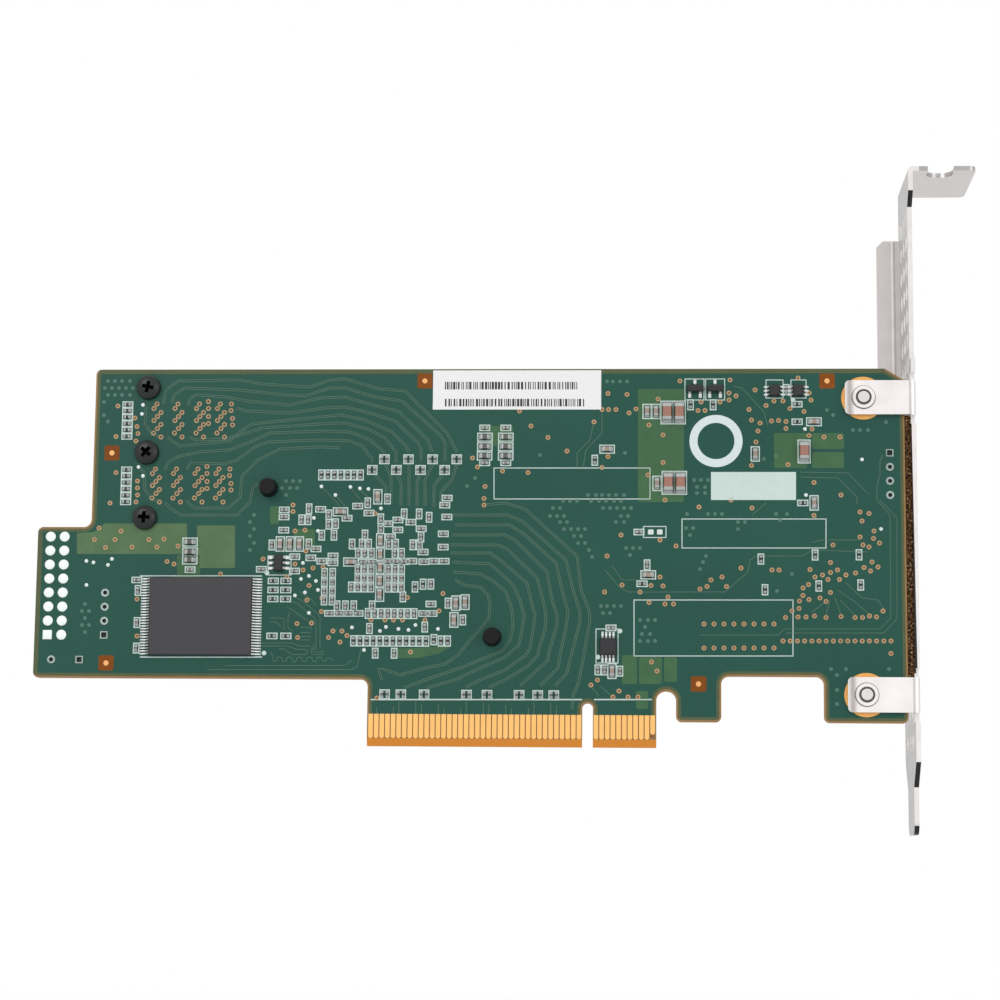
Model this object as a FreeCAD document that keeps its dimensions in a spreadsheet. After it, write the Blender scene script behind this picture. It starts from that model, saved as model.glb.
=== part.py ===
import FreeCAD, Part
import math
import os
import re
import Sketcher

# A storage host bus adapter: a low, long circuit card with an edge connector below, a vented steel
# bracket at one end, two drive ports at the other and a finned heat sink over its controller.
# X runs along the card to the bracket, Y from the solder side to the component side, Z up.
# The origin is in the middle of the card's thickness, on the key notch's centre line, at the
# bottom edge of the edge connector.

SIZES = {
    # Board outline, measured from the key notch and the bottom edge
    "board_thickness": 1.57,
    "board_height": 68.1,
    "port_edge_reach": 89.8,
    "tail_edge_reach": 99.5,
    "bracket_edge_reach": 56.4,
    "tail_bottom": 11.85,
    "tail_top": 39.1,
    "top_corner_run": 3.4,
    "top_corner_drop": 2.1,
    "key_width": 1.9,
    "key_depth": 7.8,
    "slot_round_share": 0.48,
    "retainer_gap": 3.5,
    "retainer_gap_top": 10.0,
    "hook_width": 7.95,
    "foot_bottom": 4.6,
    "window_width": 18.1,
    "window_top": 12.7,
    "outer_corner": 1.0,
    "inner_corner": 1.4,
    "bevel_height": 1.4,
    "bevel_depth": 0.5,
    # Edge connector
    "contact_pitch": 1.0,
    "contact_width": 0.82,
    "contact_top": 5.7,
    "contact_thickness": 0.05,
    "contact_offset": 1.5,
    "tongue_margin": 0.65,
    "sense_contact_rise": 0.9,
    # Bracket
    "sheet": 0.86,
    "bracket_gap": 1.16,
    "bracket_width": 18.42,
    "bracket_top": 105.27,
    "bracket_bottom": 14.75,
    "bend_radius": 0.78,
    "tab_length": 11.4,
    "tab_corner": 1.2,
    "notch_width": 4.7,
    "notch_depth": 4.8,
    "notch_corner": 2.2,
    "notch_from_face": 2.75,
    "edge_recess": 2.4,
    "recess_top": 98.3,
    "recess_slope": 2.5,
    "ear_height": 2.6,
    "relief_height": 1.6,
    "relief_depth": 2.2,
    "tongue_width": 10.16,
    "tongue_top": 8.3,
    "taper_height": 4.6,
    "taper_near": 4.5,
    "tip_corner": 2.2,
    "lug_height": 6.2,
    "lug_end_corner": 0.8,
    "lug_hole_to_end": 3.3,
    "lug_hole_x": 49.1,
    "upper_lug_z": 62.7,
    "lower_lug_z": 9.5,
    "collar_diameter": 4.0,
    "collar_height": 0.4,
    "flange_depth": 4.2,
    "flange_top": 95.8,
    "flange_bottom": 14.2,
    "flange_corner": 1.2,
    "vent_width": 2.7,
    "vent_pitch_z": 4.53,
    "vent_pitch_y": 4.5,
    "vent_first_y": 5.0,
    "vent_first_z": 1.4,
    "vent_rows": 22,
    "vent_columns": 3,
    # Bracket screws and the plated rings under the lugs
    "ring_diameter": 7.8,
    "ring_thickness": 0.05,
    "bracket_screw_diameter": 2.5,
    "bracket_screw_head": 4.8,
    "bracket_screw_head_height": 1.5,
    "bracket_screw_crown": 3.36,
    "bracket_screw_tip": 0.25,
    "thread_clearance": 0.05,
    "screw_clearance": 0.3,
    # Drive ports
    "port_screw_x": 80.08,
    "port_middle_z": 52.75,
    "port_pitch": 12.0,
    "port_screw_pitch": 11.95,
    "shell_front_reach": 90.0,
    "shell_length": 27.5,
    "shell_width": 28.0,
    "shell_height": 9.6,
    "shell_corner": 0.6,
    "shell_floor": 1.2,
    "cavity_width": 9.0,
    "cavity_height": 7.2,
    "shell_back_wall": 1.4,
    "latch_width": 3.4,
    "latch_length": 2.2,
    "latch_from_front": 3.0,
    "insert_length": 17.0,
    "insert_clearance": 0.1,
    "slot_height": 1.3,
    "slot_width": 7.4,
    "slot_depth": 8.0,
    "slot_spacing": 3.5,
    "blade_pitch": 0.75,
    "blade_width": 0.35,
    "blade_height": 0.2,
    "blade_length": 6.5,
    "port_screw_diameter": 2.0,
    "port_screw_length": 6.2,
    "port_screw_head": 4.4,
    "port_screw_head_height": 1.4,
    "port_screw_crown": 3.17,
    "recess_span": 2.2,
    "recess_arm": 0.6,
    "recess_depth": 0.9,
    # Controller and its cooling
    "sink_gap": 1.14,
    "controller_z": 32.88,
    "substrate_side": 27.0,
    "substrate_thickness": 1.3,
    "moulding_side": 24.0,
    "moulding_thickness": 1.1,
    "pad_side": 20.0,
    "pad_thickness": 0.5,
    "sink_length": 48.0,
    "sink_width": 36.0,
    "sink_base": 2.4,
    "fin_height": 7.0,
    "fin_thickness": 1.2,
    "fin_count": 10,
    "pin_inset_x": 3.7,
    "pin_inset_z": 4.6,
    "pin_pocket": 9.4,
    "pin_diameter": 2.6,
    "pin_hole_clearance": 0.3,
    "pin_head": 5.8,
    "pin_head_height": 1.3,
    "barb_diameter": 3.4,
    "barb_length": 2.7,
    "barb_tip": 2.8,
    "spring_height": 4.6,
    "spring_diameter": 4.6,
    "spring_wire": 0.55,
    # Chips on the solder side
    "memory_left": 32.04,
    "memory_below": 9.94,
    "memory_length": 18.6,
    "memory_width": 14.0,
    "memory_height": 1.0,
    "memory_lead_pitch": 0.5,
    "memory_lead_width": 0.22,
    "memory_lead_reach": 1.25,
    "chip_standoff": 0.1,
    "lead_thickness": 0.15,
    "lead_bend_share": 0.4,
    "amplifier_x": 3.58,
    "amplifier_z": 17.78,
    "amplifier_side": 3.0,
    "amplifier_height": 0.95,
    "amplifier_lead_pitch": 0.65,
    "amplifier_lead_width": 0.32,
    "amplifier_lead_reach": 0.85,
    "switch_left": 18.21,
    "switch_below": 0.23,
    "switch_width": 1.65,
    "switch_length": 2.95,
    "switch_height": 1.0,
    "switch_lead_pitch": 0.95,
    "switch_lead_width": 0.42,
    "switch_lead_reach": 0.75,
    "transistor_x": 19.06,
    "transistor_z": 64.45,
    "transistor_pitch": 3.59,
    "transistor_length": 2.9,
    "transistor_width": 1.35,
    "transistor_height": 1.0,
    "transistor_lead_pitch": 1.9,
    "transistor_lead_width": 0.45,
    "transistor_lead_reach": 0.6,
    "logic_x": 33.3,
    "logic_z": 64.05,
    "logic_pitch": 4.2,
    "logic_width": 1.9,
    "logic_length": 2.1,
    "logic_height": 0.95,
    "logic_lead_pitch": 0.7,
    "logic_lead_width": 0.3,
    "logic_lead_reach": 0.55,
    # Chip resistors and capacitors; those spread over the card are placed from a level below its edge
    "field_level": 0.8,
    "chip_length": 1.0,
    "chip_width": 0.5,
    "chip_height": 0.45,
    "chip_side_gap": 0.68,
    "pair_spacing": 0.9,
    "pair_pitch": 4.36,
    "medium_length": 1.6,
    "medium_width": 0.8,
    "medium_height": 0.7,
    "bulk_length": 3.0,
    "bulk_width": 1.6,
    "bulk_height": 1.5,
    # Label, and header positions filled with solder or left open
    "label_left": 28.2,
    "label_length": 30.4,
    "label_bottom": 60.65,
    "label_width": 7.2,
    "label_thickness": 0.1,
    "header_pitch": 2.54,
    "header_pad": 1.8,
    "header_pad_height": 0.2,
    "header_x": 97.15,
    "header_z": 19.55,
    "open_hole": 1.0,
    "tail_row_x": 86.9,
    "tail_row_z": 19.55,
    "tail_pair_x": 96.3,
    "tail_pair_z": 15.1,
    "tail_pair_pitch": 5.08,
    "end_row_x": 53.7,
    "end_row_z": 45.15,
    # Power and clock pieces on the component side
    "inductor_side": 6.6,
    "inductor_height": 3.0,
    "inductor_corner": 0.8,
    "near_inductor_x": 13.5,
    "far_inductor_x": 38.4,
    "inductor_z": 53.2,
    "regulator_side": 5.0,
    "regulator_height": 0.9,
    "regulator_gap": 2.2,
    "storage_length": 7.3,
    "storage_width": 4.3,
    "storage_height": 2.8,
    "storage_gap": 1.8,
    "oscillator_x": 5.0,
    "oscillator_z": 32.2,
    "oscillator_length": 5.0,
    "oscillator_width": 3.2,
    "oscillator_height": 1.1,
    "boot_chip_x": 6.0,
    "boot_chip_z": 32.2,
    "boot_chip_side": 5.2,
    "boot_chip_height": 1.7,
    "boot_lead_pitch": 1.27,
    "boot_lead_width": 0.42,
    "boot_lead_reach": 1.1,
}

SAME_PLACE = 1e-4
LONG_ROW = 38
SHORT_ROW = 11
BLADES = 9

doc = FreeCAD.newDocument("host_bus_adapter")
sheet = doc.addObject("Spreadsheet::Sheet", "Sizes")
for row, (alias, number) in enumerate(SIZES.items(), 1):
    sheet.set("A%d" % row, alias)
    sheet.set("B%d" % row, str(number))
    sheet.setAlias("B%d" % row, alias)
doc.recompute()

nodes = []


def formula(text):
    """Put the sheet's name in front of each of its own words in an expression."""
    return re.sub(r"[a-z][a-z_0-9]*",
                  lambda word: "Sizes." + word.group() if word.group() in SIZES else word.group(), text)


def bind(item, properties):
    """Tie properties of an object to expressions in the sheet's words."""
    for name, text in properties.items():
        item.setExpression(name, formula(text))


def node(item, label):
    """Make an object one of the sub-parts that are written out."""
    item.Label = label
    nodes.append(item)
    return item


def new_body(name, x="0", z="0"):
    """A body whose own origin stands at the given place on the card."""
    body = doc.addObject("PartDesign::Body", name)
    bind(body, {"Placement.Base.x": x, "Placement.Base.z": z})
    return body


def new_sketch(body, role, level="0"):
    """A sketch on one of the body's own origin planes, lifted along the plane's normal."""
    sketch = body.newObject("Sketcher::SketchObject", body.Name + "Sketch")
    plane = [item for item in body.Origin.OriginFeatures if item.Role == role][0]
    sketch.AttachmentSupport = (plane, [""])
    sketch.MapMode = "FlatFace"
    bind(sketch, {"AttachmentOffset.Base.z": level})
    return sketch


def fix_point(sketch, curve, end, point):
    """Tie one point of a curve to two expressions, measured from the sketch's origin."""
    for kind, text in zip(("DistanceX", "DistanceY"), point):
        number = sketch.addConstraint(Sketcher.Constraint(kind, -1, 1, curve, end, 1.0))
        sketch.setExpression("Constraints[%d]" % number, formula(text))


def polygon(sketch, points):
    """A closed outline through points that are pairs of expressions."""
    count = len(points)
    first = sketch.GeometryCount
    turn = 2 * math.pi / count
    start = [FreeCAD.Vector(math.cos(turn * i), math.sin(turn * i), 0) for i in range(count)]
    for i in range(count):
        sketch.addGeometry(Part.LineSegment(start[i], start[(i + 1) % count]), False)
    for i in range(count):
        following = first + (i + 1) % count
        sketch.addConstraint(Sketcher.Constraint("Coincident", first + i, 2, following, 1))
    for i, point in enumerate(points):
        fix_point(sketch, first + i, 1, point)


def rectangle(sketch, left, bottom, right, top):
    """A closed outline of four sides between two corners."""
    polygon(sketch, [(left, bottom), (right, bottom), (right, top), (left, top)])


def regular(x, y, width, sides, turn=0):
    """Corners of a regular outline of a given width over flats, turned by some degrees."""
    points = []
    for step in range(sides):
        angle = math.radians(360 / sides * step + turn)
        reach = "(%s) / 2 / %.6f" % (width, math.cos(math.pi / sides))
        points.append(("%s + %s * %.6f" % (x, reach, math.cos(angle)),
                       "%s + %s * %.6f" % (y, reach, math.sin(angle))))
    return points


def circle(sketch, x, y, diameter):
    """A circle tied to expressions for its centre and its diameter."""
    curve = sketch.addGeometry(Part.Circle(FreeCAD.Vector(0, 0, 0), FreeCAD.Vector(0, 0, 1), 1), False)
    fix_point(sketch, curve, 3, (x, y))
    number = sketch.addConstraint(Sketcher.Constraint("Diameter", curve, 2.0))
    sketch.setExpression("Constraints[%d]" % number, formula(diameter))


def pad(body, sketch, length, side="One side", reverse=False):
    """Raise a sketch; the solid must grow or begin."""
    feature = body.newObject("PartDesign::Pad", body.Name + "Pad")
    feature.Profile = sketch
    feature.SideType = side
    feature.Reversed = reverse
    bind(feature, {"Length": length})
    doc.recompute()
    return feature


def cut(body, sketch, depth=None, reverse=False):
    """Cut a sketch out of a body, to a depth or right through, and see that material went."""
    before = body.Shape.Volume
    feature = body.newObject("PartDesign::Pocket", body.Name + "Cut")
    feature.Profile = sketch
    if depth is None:
        feature.Type = "ThroughAll"
        feature.SideType = "Symmetric"
    else:
        feature.Reversed = reverse
        bind(feature, {"Length": depth})
    doc.recompute()
    if not body.Shape.Volume < before - SAME_PLACE:
        raise RuntimeError("a cut in %s took nothing away" % body.Name)
    return feature


def repeat(body, feature, sketch, way, pitch, count):
    """Repeat a feature in a row along one of its sketch's axes."""
    row = body.newObject("PartDesign::LinearPattern", body.Name + "Row")
    row.Originals = [feature]
    row.Direction = (sketch, [way])
    row.Occurrences = count
    bind(row, {"Length": "%s * %d" % (pitch, count - 1)})
    body.Tip = row
    doc.recompute()


def corner_edges(feature, sketch, corners):
    """The edges that rise from the given points of a sketch's outline."""
    flat = sketch.Placement.inverse()
    found = []
    for number, edge in enumerate(feature.Shape.Edges, 1):
        ends = [flat.multVec(vertex.Point) for vertex in edge.Vertexes]
        for corner in corners:
            point = sketch.Geometry[corner].StartPoint
            if all(math.hypot(end.x - point.x, end.y - point.y) < SAME_PLACE for end in ends):
                found.append("Edge%d" % number)
    return found


def straight_edges(feature, direction, test):
    """The straight edges along one axis whose middle passes a test."""
    found = []
    for number, edge in enumerate(feature.Shape.Edges, 1):
        if len(edge.Vertexes) == 2:
            run = edge.Vertexes[1].Point - edge.Vertexes[0].Point
            if run.cross(direction).Length < SAME_PLACE and test(edge.CenterOfMass):
                found.append("Edge%d" % number)
    return found


def round_edges(body, feature, edges, radius):
    """Round the named edges of a feature."""
    fillet = body.newObject("PartDesign::Fillet", body.Name + "Round")
    fillet.Base = (feature, edges)
    bind(fillet, {"Radius": radius})
    doc.recompute()
    return fillet


def turned(name, x, z, points):
    """A body turned about the Y axis at a place on the card; points are radius and height in Y."""
    body = new_body(name, x, z)
    sketch = new_sketch(body, "XY_Plane")
    polygon(sketch, points)
    feature = body.newObject("PartDesign::Revolution", name + "Turn")
    feature.Profile = sketch
    feature.ReferenceAxis = (sketch, ["V_Axis"])
    feature.Angle = 360
    doc.recompute()
    return body


def block(name, start, size):
    """A rectangular solid: its lowest corner and its sizes along X, Y and Z are expressions."""
    solid = doc.addObject("Part::Box", name)
    bind(solid, dict(zip(("Length", "Width", "Height"), size)))
    bind(solid, dict(zip(("Placement.Base.x", "Placement.Base.y", "Placement.Base.z"), start)))
    return solid


def centred_block(name, x, z, y, length, height, width):
    """A rectangular solid whose middle in X and Z is given, and which begins at one level in Y."""
    start = ("%s - (%s) / 2" % (x, length), y, "%s - (%s) / 2" % (z, width))
    return block(name, start, (length, height, width))


def group(label, pieces):
    """Like pieces that count as one sub-part."""
    compound = doc.addObject("Part::Compound", label)
    compound.Links = pieces
    return node(compound, label)


SOLDER_FACE = "-board_thickness / 2"
PART_FACE = "board_thickness / 2"
TONGUE_LEFT = "-(contact_offset + %d * contact_pitch + tongue_margin)" % (LONG_ROW - 1)
TONGUE_RIGHT = "contact_offset + %d * contact_pitch + tongue_margin" % (SHORT_ROW - 1)
HOOK_LEFT = TONGUE_RIGHT + " + retainer_gap"
HOOK_RIGHT = HOOK_LEFT + " + hook_width"
WINDOW_RIGHT = HOOK_RIGHT + " + window_width"
SHELL_FRONT = "-shell_front_reach"
SHELL_BACK = SHELL_FRONT + " + shell_length"
CONTROLLER_X = "(" + SHELL_BACK + " + sink_gap + sink_length / 2)"
MEMORY_X = CONTROLLER_X + " - memory_left"
PIN_X = "(sink_length / 2 - pin_inset_x)"
PIN_Z = "(sink_width / 2 - pin_inset_z)"
PIN_PLACES = [(CONTROLLER_X + " - " + PIN_X, "controller_z + " + PIN_Z),
              (CONTROLLER_X + " + " + PIN_X, "controller_z - " + PIN_Z)]
PORT_SCREWS = ["port_middle_z + (%d) * port_screw_pitch" % step for step in (-1, 0, 1)]
LUGS = ["upper_lug_z", "lower_lug_z"]


def make_board():
    """The laminate: one sheet with the edge connector's tongue, the hook, the window and its holes."""
    body = new_body("CircuitBoard")
    outline = new_sketch(body, "XZ_Plane")
    polygon(outline, [
        (TONGUE_LEFT, "0"),
        ("-key_width / 2", "0"),
        ("-key_width / 2", "key_depth"),
        ("key_width / 2", "key_depth"),
        ("key_width / 2", "0"),
        (TONGUE_RIGHT, "0"),
        (TONGUE_RIGHT, "retainer_gap_top"),
        (HOOK_LEFT, "retainer_gap_top"),
        (HOOK_LEFT, "foot_bottom"),
        (HOOK_RIGHT, "foot_bottom"),
        (HOOK_RIGHT, "window_top"),
        (WINDOW_RIGHT, "window_top"),
        (WINDOW_RIGHT, "foot_bottom"),
        ("bracket_edge_reach", "foot_bottom"),
        ("bracket_edge_reach", "board_height - top_corner_drop"),
        ("bracket_edge_reach - top_corner_run", "board_height"),
        ("-port_edge_reach", "board_height"),
        ("-port_edge_reach", "tail_top"),
        ("-tail_edge_reach", "tail_top"),
        ("-tail_edge_reach", "tail_bottom"),
        (TONGUE_LEFT, "tail_bottom")])
    plate = pad(body, outline, "board_thickness", "Symmetric")
    gap = round_edges(body, plate, corner_edges(plate, outline, [6, 7]), "retainer_gap * slot_round_share")
    key = round_edges(body, gap, corner_edges(gap, outline, [2, 3]), "key_width * slot_round_share")
    outer = round_edges(body, key, corner_edges(key, outline, [8, 9, 12, 13, 16, 18, 19]), "outer_corner")
    round_edges(body, outer, corner_edges(outer, outline, [10, 11, 17, 20]), "inner_corner")
    bevel = new_sketch(body, "YZ_Plane")
    for face, inward in ((SOLDER_FACE, " + bevel_depth"), (PART_FACE, " - bevel_depth")):
        polygon(bevel, [(face, "0"), (face + inward, "0"), (face, "bevel_height")])
    cut(body, bevel)
    holes = new_sketch(body, "XZ_Plane")
    for z in PORT_SCREWS:
        circle(holes, "-port_screw_x", z, "port_screw_diameter + screw_clearance")
    for x, z in PIN_PLACES:
        circle(holes, x, z, "pin_diameter + pin_hole_clearance")
    for z in LUGS:
        circle(holes, "lug_hole_x", z, "bracket_screw_diameter + screw_clearance")
    cut(body, holes)
    for x, z, count, pitch, way in (("-tail_row_x", "tail_row_z", 4, "header_pitch", "V_Axis"),
                                    ("end_row_x", "end_row_z", 4, "header_pitch", "V_Axis"),
                                    ("-tail_pair_x", "tail_pair_z", 2, "tail_pair_pitch", "H_Axis")):
        empty = new_sketch(body, "XZ_Plane")
        polygon(empty, regular(x, z, "open_hole", 8, 22.5))
        repeat(body, cut(body, empty), empty, way, pitch, count)
    node(body, "circuit_board")


def make_contacts(label, face, outward, sense_place):
    """One face's row of contact pads; the sense contact of that face starts a little higher."""
    places = ["-(contact_offset + %d * contact_pitch)" % step for step in range(LONG_ROW)]
    places += ["contact_offset + %d * contact_pitch" % step for step in range(SHORT_ROW)]
    level = face + (" - contact_thickness" if outward < 0 else "")
    pieces = []
    for number, place in enumerate(places):
        bottom = "bevel_height"
        if number == sense_place:
            bottom = "bevel_height + sense_contact_rise"
        pieces.append(block("%s_%d" % (label, number),
                            ("%s - contact_width / 2" % place, level, bottom),
                            ("contact_width", "contact_thickness", "contact_top - (%s)" % bottom)))
    group(label, pieces)


FACE_INNER = "bracket_edge_reach + bracket_gap"
FACE_OUTER = FACE_INNER + " + sheet"
LUG_INNER = "board_thickness / 2 + ring_thickness"
LUG_OUTER = LUG_INNER + " + sheet"
NEAR_EDGE = "-(" + LUG_OUTER + ")"
FAR_EDGE = NEAR_EDGE + " + bracket_width"


def near_edge_points():
    """The face plate's edge on the solder side, from the tongue up to the fold of the tab."""
    recessed = NEAR_EDGE + " + edge_recess"
    notched = NEAR_EDGE + " + relief_depth"
    points = []
    for lug in ("lower_lug_z", "upper_lug_z"):
        below = "%s - lug_height / 2" % lug
        above = "%s + lug_height / 2" % lug
        points += [(notched, below + " - relief_height"), (notched, below), (NEAR_EDGE, below),
                   (NEAR_EDGE, above), (notched, above), (notched, above + " + relief_height"),
                   (NEAR_EDGE, above + " + relief_height"),
                   (NEAR_EDGE, above + " + relief_height + ear_height")]
        if lug == "lower_lug_z":
            points += [(NEAR_EDGE, "upper_lug_z - lug_height / 2 - relief_height")]
    points += [(recessed, "upper_lug_z + lug_height / 2 + relief_height + ear_height"),
               (recessed, "recess_top"), (NEAR_EDGE, "recess_top + recess_slope")]
    return points


def make_bracket():
    """Bent from one sheet: face plate with vents, screw tab, two lugs, stiffening flange and tongue."""
    body = new_body("MountingBracket")
    face = new_sketch(body, "YZ_Plane", FACE_INNER)
    tongue_near = NEAR_EDGE + " + taper_near"
    tongue_far = tongue_near + " + tongue_width"
    taper_top = "-bracket_bottom + tongue_top + taper_height"
    polygon(face, [(tongue_near, "-bracket_bottom + tongue_top"), (NEAR_EDGE, taper_top),
                   (NEAR_EDGE, "lower_lug_z - lug_height / 2 - relief_height")]
            + near_edge_points()
            + [(NEAR_EDGE, "bracket_top"), (FAR_EDGE, "bracket_top"), (FAR_EDGE, taper_top),
               (tongue_far, "-bracket_bottom + tongue_top"), (tongue_far, "-bracket_bottom"),
               (tongue_near, "-bracket_bottom")])
    plate = pad(body, face, "sheet")
    last = face.GeometryCount - 1
    round_edges(body, plate, corner_edges(plate, face, [last - 1, last]), "tip_corner")

    tab = new_sketch(body, "XY_Plane", "bracket_top - sheet")
    tab_end = FACE_OUTER + " + tab_length"
    notch_left = FACE_OUTER + " + notch_from_face"
    notch_right = notch_left + " + notch_width"
    notch_end = NEAR_EDGE + " + notch_depth"
    polygon(tab, [(FACE_INNER, NEAR_EDGE), (notch_left, NEAR_EDGE), (notch_left, notch_end),
                  (notch_right, notch_end), (notch_right, NEAR_EDGE), (tab_end, NEAR_EDGE),
                  (tab_end, FAR_EDGE), (FACE_INNER, FAR_EDGE)])
    shelf = pad(body, tab, "sheet")
    notch = round_edges(body, shelf, corner_edges(shelf, tab, [2, 3]), "notch_corner")
    round_edges(body, notch, corner_edges(notch, tab, [5, 6]), "tab_corner")

    for lug in LUGS:
        tongue = new_sketch(body, "XZ_Plane", LUG_INNER)
        rectangle(tongue, "lug_hole_x - lug_hole_to_end", "%s - lug_height / 2" % lug,
                  FACE_OUTER, "%s + lug_height / 2" % lug)
        strip = pad(body, tongue, "sheet")
        round_edges(body, strip, corner_edges(strip, tongue, [0, 3]), "lug_end_corner")
        collar = new_sketch(body, "XZ_Plane", LUG_OUTER)
        circle(collar, "lug_hole_x", lug, "collar_diameter")
        pad(body, collar, "collar_height")

    flange = new_sketch(body, "XZ_Plane", "-(" + FAR_EDGE + ")")
    flange_end = FACE_INNER + " - flange_depth"
    polygon(flange, [(flange_end, "flange_bottom + flange_corner"),
                     (flange_end + " + flange_corner", "flange_bottom"),
                     (FACE_OUTER, "flange_bottom"), (FACE_OUTER, "flange_top"),
                     (flange_end + " + flange_corner", "flange_top"),
                     (flange_end, "flange_top - flange_corner")])
    fold = pad(body, flange, "sheet")

    half_lug = sheet.get("lug_height") / 2
    outer_x = sheet.get("bracket_edge_reach") + sheet.get("bracket_gap") + sheet.get("sheet")
    near_y = -(sheet.get("board_thickness") / 2 + sheet.get("ring_thickness") + sheet.get("sheet"))
    far_y = near_y + sheet.get("bracket_width")

    def is_bend(middle):
        """Outer corners of the folds: the two lugs, the flange and, across Y, the tab."""
        on_face = abs(middle.x - outer_x) < SAME_PLACE
        beside_lug = any(abs(middle.z - sheet.get(lug)) < half_lug for lug in LUGS)
        beside_flange = sheet.get("flange_bottom") < middle.z < sheet.get("flange_top")
        at_lug = abs(middle.y - near_y) < SAME_PLACE and beside_lug
        at_flange = abs(middle.y - far_y) < SAME_PLACE and beside_flange
        return on_face and (at_lug or at_flange)

    upright = FreeCAD.Vector(0, 0, 1)
    across = FreeCAD.Vector(0, 1, 0)
    inner_x = outer_x - sheet.get("sheet")
    bends = straight_edges(fold, upright, is_bend)
    top_z = sheet.get("bracket_top")
    bends += straight_edges(fold, across, lambda middle: abs(middle.x - inner_x) < SAME_PLACE
                            and abs(middle.z - top_z) < SAME_PLACE)
    round_edges(body, fold, bends, "bend_radius")

    taps = new_sketch(body, "XZ_Plane")
    for lug in LUGS:
        circle(taps, "lug_hole_x", lug, "bracket_screw_diameter + thread_clearance")
    cut(body, taps)

    vent = new_sketch(body, "YZ_Plane", FACE_INNER)
    polygon(vent, regular(NEAR_EDGE + " + vent_first_y", "vent_first_z", "vent_width", 6))
    first = cut(body, vent)
    rows = body.newObject("PartDesign::LinearPattern", "VentRows")
    rows.Direction = (vent, ["V_Axis"])
    bind(rows, {"Length": "vent_pitch_z * (vent_rows - 1)", "Occurrences": "vent_rows"})
    columns = body.newObject("PartDesign::LinearPattern", "VentColumns")
    columns.Direction = (vent, ["H_Axis"])
    bind(columns, {"Length": "vent_pitch_y * (vent_columns - 1)", "Occurrences": "vent_columns"})
    vents = body.newObject("PartDesign::MultiTransform", "Vents")
    vents.Originals = [first]
    vents.Transformations = [rows, columns]
    body.Tip = vents
    doc.recompute()
    node(body, "mounting_bracket")


def make_rings():
    """Plated rings round the two bracket holes, on which the lugs rest."""
    body = new_body("GroundRings")
    sketch = new_sketch(body, "XZ_Plane", PART_FACE)
    for lug in LUGS:
        polygon(sketch, regular("lug_hole_x", lug, "ring_diameter", 16))
        polygon(sketch, regular("lug_hole_x", lug, "bracket_screw_diameter + screw_clearance", 8))
    pad(body, sketch, "ring_thickness")
    node(body, "ground_rings")


def make_bracket_screws():
    """Pan-head screws from the component side, threaded into the lugs' collars."""
    tip = "-(" + LUG_OUTER + " + collar_height + bracket_screw_tip)"
    pieces = []
    for number, lug in enumerate(LUGS):
        pieces.append(turned("BracketScrew%d" % number, "lug_hole_x", lug, [
            ("0", tip),
            ("bracket_screw_diameter / 2", tip),
            ("bracket_screw_diameter / 2", PART_FACE),
            ("bracket_screw_head / 2", PART_FACE),
            ("bracket_screw_crown / 2", PART_FACE + " + bracket_screw_head_height"),
            ("0", PART_FACE + " + bracket_screw_head_height")]))
    group("bracket_screws", pieces)


CAVITY_FLOOR = PART_FACE + " + shell_floor"
CAVITY_BACK = SHELL_BACK + " - shell_back_wall"
PORTS = {"upper": "port_middle_z + port_pitch / 2", "lower": "port_middle_z - port_pitch / 2"}


def make_port_shell():
    """The cast shell of both drive ports: two mouths at the card's edge, latch windows, screw holes."""
    body = new_body("PortShell")
    foot = new_sketch(body, "XZ_Plane", SOLDER_FACE)
    rectangle(foot, SHELL_FRONT, "port_middle_z - shell_width / 2",
              SHELL_BACK, "port_middle_z + shell_width / 2")
    mass = pad(body, foot, "shell_height", reverse=True)
    top = sheet.get("board_thickness") / 2 + sheet.get("shell_height")
    edges = corner_edges(mass, foot, [0, 1, 2, 3])
    edges += straight_edges(mass, FreeCAD.Vector(1, 0, 0), lambda middle: abs(middle.y - top) < SAME_PLACE)
    round_edges(body, mass, edges, "shell_corner")
    mouths = new_sketch(body, "YZ_Plane", SHELL_FRONT)
    for z in PORTS.values():
        rectangle(mouths, CAVITY_FLOOR, z + " - cavity_width / 2",
                  CAVITY_FLOOR + " + cavity_height", z + " + cavity_width / 2")
    cut(body, mouths, "shell_length - shell_back_wall", reverse=True)
    windows = new_sketch(body, "XZ_Plane", "-(board_thickness / 2 + shell_height)")
    for z in PORTS.values():
        rectangle(windows, SHELL_FRONT + " + latch_from_front", z + " - latch_width / 2",
                  SHELL_FRONT + " + latch_from_front + latch_length", z + " + latch_width / 2")
    cut(body, windows, "shell_height - shell_floor - cavity_height", reverse=True)
    posts = new_sketch(body, "XZ_Plane", SOLDER_FACE)
    for z in PORT_SCREWS:
        circle(posts, "-port_screw_x", z, "port_screw_diameter + thread_clearance")
    cut(body, posts, "port_screw_length - board_thickness + thread_clearance")
    node(body, "port_shell")


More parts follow.
